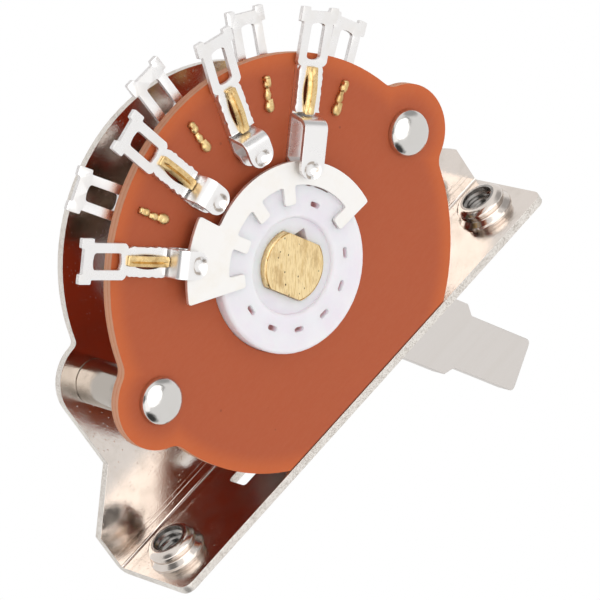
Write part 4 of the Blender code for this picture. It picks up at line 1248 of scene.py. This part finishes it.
@dataclass
class SolderLug(Contact):
    """Flat lug with two horns, an eye for the wire and a slit for the staple."""

    floor: float = 0.34 * MM
    rounding: float = 0.05 * MM
    inner_end: float = 12.63 * MM
    shoulder: float = 16.4 * MM
    end: float = 21.25 * MM
    half_width: float = 1.20 * MM
    arm_half_width: float = 1.475 * MM
    horn_half_span: float = 1.84 * MM
    horn_width: float = 0.80 * MM
    horn_length: float = 1.25 * MM
    horn_recess: float = 0.32 * MM
    corner: float = 0.13 * MM
    bend: float = 16.6 * MM
    bend_angle: float = 6.0
    eye_middle: float = 18.45 * MM
    eye_half_length: float = 1.42 * MM
    eye_half_width: float = 0.69 * MM
    eye_bulge: float = 0.18
    eye_corner: float = 0.25 * MM
    wave_step: float = 0.12 * MM
    wave_size: float = 0.40 * MM
    wave_depth: float = 0.13 * MM

    def softened(self, outline: Outline, radius: float) -> Outline:
        """Cut each corner of an outline by three short sides.

        Args:
            outline: Corners as (radius, side).
            radius: How far from a corner the cut starts.

        Returns:
            The outline with soft corners.
        """
        points = [Vector(point) for point in outline]
        soft = []
        for number, point in enumerate(points):
            ways = (points[number - 1] - point, points[(number + 1) % len(points)] - point)
            start, end = (point + way.normalized() * min(radius, way.length * 0.45) for way in ways)
            for share in (0.0, 0.33, 0.67, 1.0):
                soft.append(tuple(start.lerp(point, share).lerp(point.lerp(end, share), share)))
        return soft

    def outline(self) -> Outline:
        """Trace the lug, with the waves that the shears left along its sides.

        Returns:
            Its points as (radius, side).
        """
        notch = self.horn_half_span - self.horn_width
        horn = self.end - self.horn_length
        head = [
            (self.shoulder, self.half_width),
            (self.shoulder + self.arm_half_width - self.half_width, self.arm_half_width),
            (horn, self.arm_half_width),
            (horn, self.horn_half_span),
            (self.end, self.horn_half_span),
            (self.end, notch),
            (self.end - self.horn_recess, notch),
        ]
        head += [(radius, -side) for radius, side in reversed(head)]
        outline = self.softened(head, self.corner)
        length = self.shoulder - self.inner_end
        count = round(length / self.wave_step)
        for way in (-1.0, 1.0):
            for step in range(count - 2):
                radius = self.inner_end + length * (step / count if way > 0 else 1.0 - (step + 3) / count)
                spot = Vector((radius / self.wave_size, way * 3.0, self.index * 7.0 + self.front * 2.0))
                outline.append((radius, way * (self.half_width + noise.noise(spot) * self.wave_depth)))
        return outline

    def eye(self) -> Outline:
        """Trace the eye, whose short sides bulge.

        Returns:
            Its points as (radius, side).
        """
        long, half = self.eye_half_length, self.eye_half_width
        corners = [(-long, -half), (-long - half * self.eye_bulge, 0.0), (-long, half)]
        corners += [(-across, -side) for across, side in corners]
        return self.softened([(self.eye_middle + across, side) for across, side in corners], self.eye_corner)

    def build(self) -> None:
        """Cut, bend and dress the lug."""
        mesh = self.slab([self.outline(), self.eye(), self.slit()], self.floor, self.lug_top, (self.bend,))
        self.mark_sides(mesh)
        self.round_edges(mesh, self.rounding)
        for point in mesh.verts:
            point.co.y += math.tan(math.radians(self.bend_angle)) * max(0.0, point.co.x - self.bend)
        self.fit("lug", mesh, [SILVER_PLATE, SILVER_EDGE])


@dataclass(frozen=True)
class Bead:
    """Lump of brass at a radius and side of the contact, with its half sizes, in millimetres."""

    radius: float
    side: float
    long: float
    high: float
    wide: float


@dataclass
class Staple(Contact):
    """Brass staple: a split crown over the lug, and two legs beaten over behind the board."""

    rounding: float = 0.04 * MM
    sheet: float = 0.24 * MM
    half_length: float = 1.95 * MM
    near_side: float = 0.36 * MM
    far_side: float = -0.52 * MM
    corner: float = 0.10 * MM
    crown_gap: float = 0.02 * MM
    crown_steps: int = 16
    arch: float = 0.14 * MM
    groove: float = 0.13 * MM
    groove_half_width: float = 0.10 * MM
    near_slope: float = 0.45
    leg_top: float = 0.10 * MM
    under_board: float = 1.17 * MM
    hammer_size: float = 0.45 * MM
    hammer_depth: float = 0.05 * MM
    hammer_seed: int = 7
    beads: tuple[Bead, ...] = (
        Bead(13.36, 0.02, 0.55, 0.30, 0.46),
        Bead(14.28, 0.08, 0.46, 0.22, 0.33),
        Bead(15.22, 0.0, 0.36, 0.27, 0.38),
        Bead(15.76, 0.0, 0.16, 0.20, 0.30),
    )

    def crown(self) -> Mesh:
        """Fold the crown: two strips with a groove between them, beside which the lug's slit shows.

        Returns:
            The closed crown.
        """
        start, end = self.slit_middle - self.half_length, self.slit_middle + self.half_length
        near, far, corner = self.near_side, self.far_side, self.corner
        outline = [(start, far + corner), (start + corner, far), (end - corner, far), (end, far + corner)]
        outline += [(end, near - corner), (end - corner, near), (start + corner, near), (start, near - corner)]
        floor = self.lug_top + self.crown_gap
        across = tuple(start + (end - start) * step / self.crown_steps for step in range(1, self.crown_steps))
        along = (-self.groove_half_width, 0.0, self.groove_half_width)
        mesh = self.slab([outline], floor, floor + self.sheet, across, along)
        self.round_edges(mesh, self.rounding)
        for point in mesh.verts:
            share, side = (point.co.x - self.slit_middle) / self.half_length, point.co.z
            near_groove = max(0.0, 1.0 - abs(side) / self.groove_half_width)
            fold = self.groove * near_groove + self.near_slope * max(0.0, side - self.groove_half_width)
            point.co.y += self.arch * math.cos(math.pi / 2 * share) ** 2 - fold * (1.0 - share**6)
        return mesh

    def legs(self) -> Mesh:
        """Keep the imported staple's legs and the ends that are bent over.

        Returns:
            The closed legs.
        """
        mesh = self.copy_of(self.node("staple"))
        bmesh.ops.transform(mesh, matrix=self.seat().inverted(), verts=mesh.verts)
        bmesh.ops.bisect_plane(
            mesh, geom=[*mesh.verts, *mesh.edges, *mesh.faces], dist=self.merge_distance,
            plane_co=(0.0, self.lug_top + self.leg_top, 0.0), plane_no=(0.0, 1.0, 0.0), clear_outer=True,
        )
        bmesh.ops.holes_fill(mesh, edges=[edge for edge in mesh.edges if edge.is_boundary], sides=0)
        self.round_edges(mesh, self.rounding)
        return mesh

    def build(self) -> None:
        """Add the lumps that the hammer left on the legs, roughen both, and join and dress the crown."""
        mesh = self.legs()
        for bead in self.beads:
            shape = Matrix.Diagonal((bead.long * MM, bead.high * MM, bead.wide * MM, 1.0))
            place = Matrix.Translation((bead.radius * MM, -self.under_board, bead.side * MM))
            bmesh.ops.create_icosphere(mesh, subdivisions=3, radius=1.0, matrix=place @ shape)
        noise.seed_set(self.hammer_seed)
        for point in mesh.verts:
            point.co += noise.noise_vector(point.co / self.hammer_size) * self.hammer_depth
        move_into(mesh, self.crown())
        self.fit("staple", mesh, [STAPLE_BRASS])


@dataclass
class ContactClip(Contact):
    """Forked spring sheet: a base under the lug, and two dimpled leaves that grip the blade."""

    sheet: float = 0.30 * MM
    rounding: float = 0.05 * MM
    half_width: float = 1.17 * MM
    outer_end: float = 16.45 * MM
    inner_end: float = 12.40 * MM
    base_overlap: float = 0.05 * MM
    base_height: float = 0.17 * MM
    short_reach: float = 9.55 * MM
    long_reach: float = 7.30 * MM
    leaf_height: float = 2.10 * MM
    bend_radius: float = 0.74 * MM
    bend_centre: float = 11.32 * MM
    bend_step: int = 7
    riser_lean: int = 13
    riser_inset: float = 0.02 * MM
    riser_sink: float = 0.05 * MM
    low_leaf_height: float = 0.75 * MM
    ramp_start: float = 1.60 * MM
    ramp_length: float = 0.60 * MM
    ramp_steps: int = 8
    tip: float = 1.25 * MM
    tip_share: float = 0.97
    dimple_inset: float = 0.74 * MM
    dimple_radius: float = 0.94 * MM
    high_dent: float = 0.34 * MM
    low_dent: float = 0.23 * MM
    columns: int = 24
    fine_step: float = 0.08 * MM

    @property
    def reach(self) -> float:
        """Give the radius at which both leaves end."""
        return self.long_reach if self.index == self.count else self.short_reach

    def high_path(self) -> Outline:
        """Trace the middle of the riser and the high leaf.

        Returns:
            Corners as (radius, height).
        """
        path = [(self.inner_end - self.riser_inset, self.base_height - self.riser_sink)]
        for turn in range(self.riser_lean, 91, self.bend_step):
            lean = math.radians(turn)
            across = self.bend_centre + self.bend_radius * math.cos(lean)
            path.append((across, self.leaf_height - self.bend_radius + self.bend_radius * math.sin(lean)))
        return path + [(self.reach, self.leaf_height)]

    def low_path(self) -> Outline:
        """Trace the middle of the ramp and the low leaf.

        Returns:
            Corners as (radius, height).
        """
        start = self.reach + self.ramp_start
        path = [(self.inner_end, self.base_height)]
        for index in range(self.ramp_steps + 1):
            share = index / self.ramp_steps
            rise = share * share * (3 - 2 * share)
            height = self.base_height + (self.low_leaf_height - self.base_height) * rise
            path.append((start - self.ramp_length * share, height))
        return path + [(self.reach, self.low_leaf_height)]

    def stations(self, path: Outline) -> list[tuple[Vector, Vector]]:
        """Walk along a path in fine steps.

        Args:
            path: Corners of the path as (radius, height).

        Returns:
            Points on the path, each with the direction that points out of the sheet.
        """
        spots: list[Vector] = []
        points = [Vector(point) for point in path]
        for first, second in zip(points, points[1:]):
            steps = max(1, round((second - first).length / self.fine_step))
            spots += [first.lerp(second, step / steps) for step in range(steps)]
        spots.append(points[-1])
        ways = [after - before for before, after in zip(spots[:1] + spots, spots[1:] + spots[-1:])]
        return [(spot, Vector((way.y, -way.x)).normalized()) for spot, way in zip(spots, ways)]

    def half_width_at(self, radius: float) -> float:
        """Give half the sheet's width at a radius, narrowing towards the rounded tip."""
        share = max(0.0, 1.0 - (radius - self.reach) / self.tip) * self.tip_share
        return self.half_width * (1.0 - share**2.6) ** 0.5

    def leaf(self, path: Outline, dent: float) -> Mesh:
        """Bend a strip of sheet along a path, and press a dimple into it near its tip.

        Args:
            path: Corners of the path as (radius, height).
            dent: How far the dimple stands out, away from the board if positive.

        Returns:
            The closed leaf.
        """
        mesh = bmesh.new()
        stations, columns = self.stations(path), self.columns
        rows = len(stations) - 1
        upright = Matrix.Rotation(math.pi / 2, 4, "X")
        bmesh.ops.create_grid(mesh, x_segments=rows, y_segments=columns, size=1.0, matrix=upright)
        self.thicken(mesh, 1.0)
        self.mark_sides(mesh)
        middle = self.reach + self.dimple_inset
        for point in mesh.verts:
            spot, outward = stations[round((point.co.x + 1.0) / 2 * rows)]
            side = self.half_width_at(spot.x) * (2 * round((point.co.z + 1.0) / 2 * columns) / columns - 1)
            near = max(0.0, 1.0 - math.hypot(spot.x - middle, side) / self.dimple_radius)
            at = spot + outward * self.sheet * (0.5 - round(point.co.y))
            point.co = (at.x, at.y + dent * math.sin(math.pi / 2 * near) ** 1.5, side)
        return mesh

    def base(self) -> Mesh:
        """Cut the flat base with its slit.

        Returns:
            The closed base.
        """
        inner, half = self.inner_end - self.base_overlap, self.half_width
        corners = [(inner, -half), (self.outer_end, -half), (self.outer_end, half), (inner, half)]
        floor = self.base_height - self.sheet / 2
        return self.slab([corners, self.slit()], floor, floor + self.sheet)

    def build(self) -> None:
        """Model and dress the clip."""
        mesh = self.base()
        for path, dent in ((self.high_path(), -self.high_dent), (self.low_path(), self.low_dent)):
            move_into(mesh, self.leaf(path, dent))
        bmesh.ops.recalc_face_normals(mesh, faces=mesh.faces)
        self.round_edges(mesh, self.rounding)
        self.fit("clip", mesh, [SPRING_SILVER, SILVER_EDGE])


@dataclass
class Contacts:
    """All contacts on both faces of the board."""

    def build(self) -> None:
        """Build and dress the lug, the clip and the staple of each contact."""
        for front in (True, False):
            for index in range(1, Contact.count + 1):
                for kind in (SolderLug, ContactClip, Staple):
                    kind(front=front, index=index).build()


@dataclass
class Rotor(SubAssembly):
    """Moulded disc on the shaft with a stamped blade on each face."""

    body: Body = Body.LEVER
    half_thickness: float = 1.625 * MM
    solid_radius: float = 7.2 * MM
    radius: float = 7.31 * MM
    rim_rounding: float = 0.34 * MM
    pocket_radius: float = 5.33 * MM
    pocket_half_width: float = 1.0 * MM
    pocket_rounding: float = 0.21 * MM
    recess_radius: float = 4.0 * MM
    recess_rounding: float = 0.35 * MM
    moulded_rounding: float = 0.06 * MM
    blade_rounding: float = 0.04 * MM
    wide_segments: int = 5
    leeway: float = 0.1 * MM
    straightness: float = 0.01 * MM

    def off_axis(self, point: Vector) -> Vector:
        """Give the way from the shaft's axis to a point."""
        return Vector((point.x, 0.0, point.z + SHAFT_DEPTH))

    def ring(self, mesh: Mesh, radius: float, leeway: float, upright: bool = False) -> list[Edge]:
        """Find the edges that lie at a radius from the shaft's axis.

        Args:
            mesh: The disc's mesh.
            radius: The radius.
            leeway: How far off it their ends may lie.
            upright: True for edges along the shaft, and False for level ones.

        Returns:
            The edges.
        """
        found = []
        for edge in mesh.edges:
            slope = edge.verts[0].co - edge.verts[1].co
            off_way = math.hypot(slope.x, slope.z) if upright else abs(slope.y)
            offsets = [abs(self.off_axis(point.co).length - radius) for point in edge.verts]
            if off_way < self.straightness and max(offsets) < leeway:
                found.append(edge)
        return found

    def disc(self) -> Mesh:
        """Widen the disc to its running fit, and round its rim, its pockets and its other edges.

        Returns:
            The disc's mesh.
        """
        mesh = self.copy_of("rotor")
        for point in mesh.verts:
            out = self.off_axis(point.co)
            if out.length > self.solid_radius - self.leeway / 2:
                point.co += out * (self.radius / out.length - 1.0)
        corners = self.ring(mesh, self.pocket_radius, self.pocket_half_width, upright=True)
        rim = [edge for edge in self.ring(mesh, self.radius, self.leeway) if self.is_sharp(edge)]
        recess = [
            edge for edge in self.ring(mesh, self.recess_radius, self.leeway)
            if abs(abs(edge.verts[0].co.y + BOARD_DEPTH) - self.half_thickness) < self.leeway / 5
        ]
        widths = (self.pocket_rounding, self.rim_rounding, self.recess_rounding)
        for edges, width in zip((corners, rim, recess), widths):
            self.bevel(mesh, [edge for edge in edges if edge.is_valid], width, self.wide_segments)
        self.round_edges(mesh, self.moulded_rounding)
        return mesh

    def build(self) -> None:
        """Round and dress the disc and its blades."""
        self.piece("rotor_dressed", self.disc(), [NYLON], "rotor")
        self.rounded("front_blade", self.blade_rounding, MATTE_SILVER)
        # The rear blade's finish is painted shade.
        self.rounded("rear_blade", self.blade_rounding, SHADED_REAR_SILVER)


@dataclass
class ShaftAndLever(SubAssembly):
    """Brass shaft with two flats, and the lever that turns it."""

    body: Body = Body.LEVER
    shaft_rounding: float = 0.06 * MM
    lever_rounding: float = 0.16 * MM
    lever_segments: int = 3
    spring_rounding: float = 0.03 * MM
    keeper_rounding: float = 0.04 * MM

    def build(self) -> None:
        """Round and dress the shaft, the lever, its spring and the pieces that keep the shaft in the plate."""
        self.rounded("shaft", self.shaft_rounding, SHAFT_BRASS)
        self.rounded("lever", self.lever_rounding, SATIN_NICKEL, self.lever_segments)
        self.rounded("detent_spring", self.spring_rounding, SPRING_STEEL)
        for node in ("shaft_washer", "shaft_clip"):
            self.rounded(node, self.keeper_rounding, SPRING_STEEL)
        for node in ("detent_rivet_left", "detent_rivet_right"):
            self.dress(node, RIVET_STEEL)


@dataclass
class SoftBox:
    """A soft lamp that aims at the middle of the switch."""

    name: str
    azimuth: float
    elevation: float
    distance: float
    width: float
    power: float

    def build(self, target: Vector) -> None:
        """Hang the lamp and aim it.

        Args:
            target: The point that the lamp faces.
        """
        back = direction_of(self.azimuth, self.elevation)
        light = bpy.data.lights.new(self.name, "AREA")
        light.shape = "DISK"
        light.size = self.width
        light.energy = self.power
        lamp = add_object(self.name, light)
        lamp.location = target + back * self.distance
        lamp.rotation_euler = (-back).to_track_quat("-Z", "Y").to_euler()
        lamp.visible_camera = False
        lamp.visible_glossy = False


@dataclass(frozen=True)
class Card:
    """A soft box or a dark flag round the switch, as shiny surfaces see it."""

    azimuth: float
    elevation: float
    inner: float
    outer: float
    level: float


@dataclass
class Studio:
    """Pale floor, even sky, soft lamps and the camera at the photograph's angle."""

    floor_radius: float = 0.7
    floor_segments: int = 96
    floor_gap: float = 0.05 * MM
    sky: Colour = (1.0, 1.0, 1.0)
    sky_strength: float = 0.70
    wall_level: float = 0.92
    cards: tuple[Card, ...] = (
        Card(-75.0, -22.0, 16.0, 34.0, 0.42),
        Card(-25.0, -75.0, 18.0, 32.0, 1.0),
        Card(-10.0, -20.0, 27.0, 34.0, 0.28),
        Card(48.0, -12.0, 20.0, 26.0, 1.35),
        Card(1.0, -20.0, 31.0, 37.0, 2.05),
        Card(62.0, 33.0, 16.0, 34.0, 0.05),
        Card(80.0, -45.0, 10.0, 22.0, 0.18),
        Card(76.0, -14.0, 8.0, 16.0, 1.1),
    )
    lamps: tuple[SoftBox, ...] = (
        SoftBox("key_lamp", 8.0, -14.0, 0.9, 0.60, 2.4),
        SoftBox("fill_lamp", -60.0, 35.0, 1.0, 0.70, 1.5),
        SoftBox("back_lamp", 190.0, 45.0, 0.9, 0.60, 1.6),
    )
    aim: Place = (-2.56 * MM, 2.51 * MM, -6.96 * MM)
    camera_distance: float = 365.0 * MM
    camera_azimuth: float = 24.342
    camera_elevation: float = -30.876
    camera_roll: float = 145.61
    focal_length: float = 259.71
    sensor_width: float = 36.0
    clip_start: float = 10 * MM
    clip_end: float = 10.0

    def lay_floor(self) -> None:
        """Lay a round floor just under the switch."""
        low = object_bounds()[0]
        mesh = bmesh.new()
        bmesh.ops.create_circle(mesh, cap_ends=True, radius=self.floor_radius, segments=self.floor_segments)
        bmesh.ops.translate(mesh, verts=mesh.verts, vec=(0.0, 0.0, low.z - self.floor_gap))
        data = bpy.data.meshes.new("floor")
        mesh.to_mesh(data)
        mesh.free()
        data.materials.append(FLOOR_PAPER.material())
        floor = add_object("floor", data)
        floor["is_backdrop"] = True

    def sky_level(self, graph: ShaderGraph) -> Socket:
        """Work out how bright the studio looks in a shiny surface, direction by direction.

        Args:
            graph: The world's tree.

        Returns:
            The level, from nearly black in a flag to more than 1 in a soft box.
        """
        direction = graph.add("ShaderNodeTexCoord").outputs["Generated"]
        level: Socket | float = self.wall_level
        for card in self.cards:
            toward = graph.add("ShaderNodeVectorMath", operation="DOT_PRODUCT")
            graph.feed(toward.inputs[0], direction)
            graph.feed(toward.inputs[1], direction_of(card.azimuth, card.elevation))
            inner, outer = math.cos(math.radians(card.inner)), math.cos(math.radians(card.outer))
            share = graph.ease(toward.outputs["Value"], outer, inner)
            level = graph.sum("MULTIPLY_ADD", share, graph.sum("SUBTRACT", card.level, level), level)
        return level

    def light(self) -> None:
        """Light the switch evenly, with a white background for the camera and a pale one for metal."""
        world = bpy.data.worlds.new("studio")
        world.use_nodes = True
        graph = ShaderGraph(world.node_tree)
        path = graph.add("ShaderNodeLightPath").outputs
        shiny = graph.sum("MAXIMUM", path["Is Glossy Ray"], path["Is Transmission Ray"])
        change = graph.sum("SUBTRACT", self.sky_level(graph), self.sky_strength)
        strength = graph.sum("MULTIPLY_ADD", shiny, change, self.sky_strength)
        background = graph.add("ShaderNodeBackground")
        graph.feed(background.inputs["Color"], (*self.sky, 1.0))
        graph.feed(background.inputs["Strength"], graph.sum("MAXIMUM", strength, path["Is Camera Ray"]))
        graph.feed(graph.add("ShaderNodeOutputWorld").inputs["Surface"], background.outputs[0])
        bpy.context.scene.world = world
        for lamp in self.lamps:
            lamp.build(Vector(self.aim))

    def place_camera(self) -> None:
        """Place the camera where the photograph was taken from."""
        back = direction_of(self.camera_azimuth, self.camera_elevation)
        lens = bpy.data.cameras.new("camera")
        lens.lens, lens.sensor_width = self.focal_length, self.sensor_width
        lens.clip_start, lens.clip_end = self.clip_start, self.clip_end
        camera = add_object("camera", lens)
        camera.rotation_mode = "QUATERNION"
        level = (-back).to_track_quat("-Z", "Y")
        camera.rotation_quaternion = level @ Quaternion((0.0, 0.0, 1.0), math.radians(self.camera_roll))
        camera.location = Vector(self.aim) + back * self.camera_distance
        bpy.context.scene.camera = camera

    def build(self) -> None:
        """Set up the whole studio."""
        self.lay_floor()
        self.light()
        self.place_camera()
        bpy.context.scene.view_settings.view_transform = "Standard"


def write_sizes() -> None:
    """Log one line; nothing is measured or written.
    """
    log.info("sizes written")


def main() -> None:
    """Build every sub-assembly, then the studio."""
    logging.basicConfig(level=logging.INFO, format="%(message)s")
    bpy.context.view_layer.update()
    for part in (Bracket(), Wafer(), RivetsAndSpacers(), Contacts(), Rotor(), ShaftAndLever()):
        part.build()
        log.info("%s done", type(part).__name__)
    Studio().build()
    write_sizes()


if __name__ == "__main__":
    main()
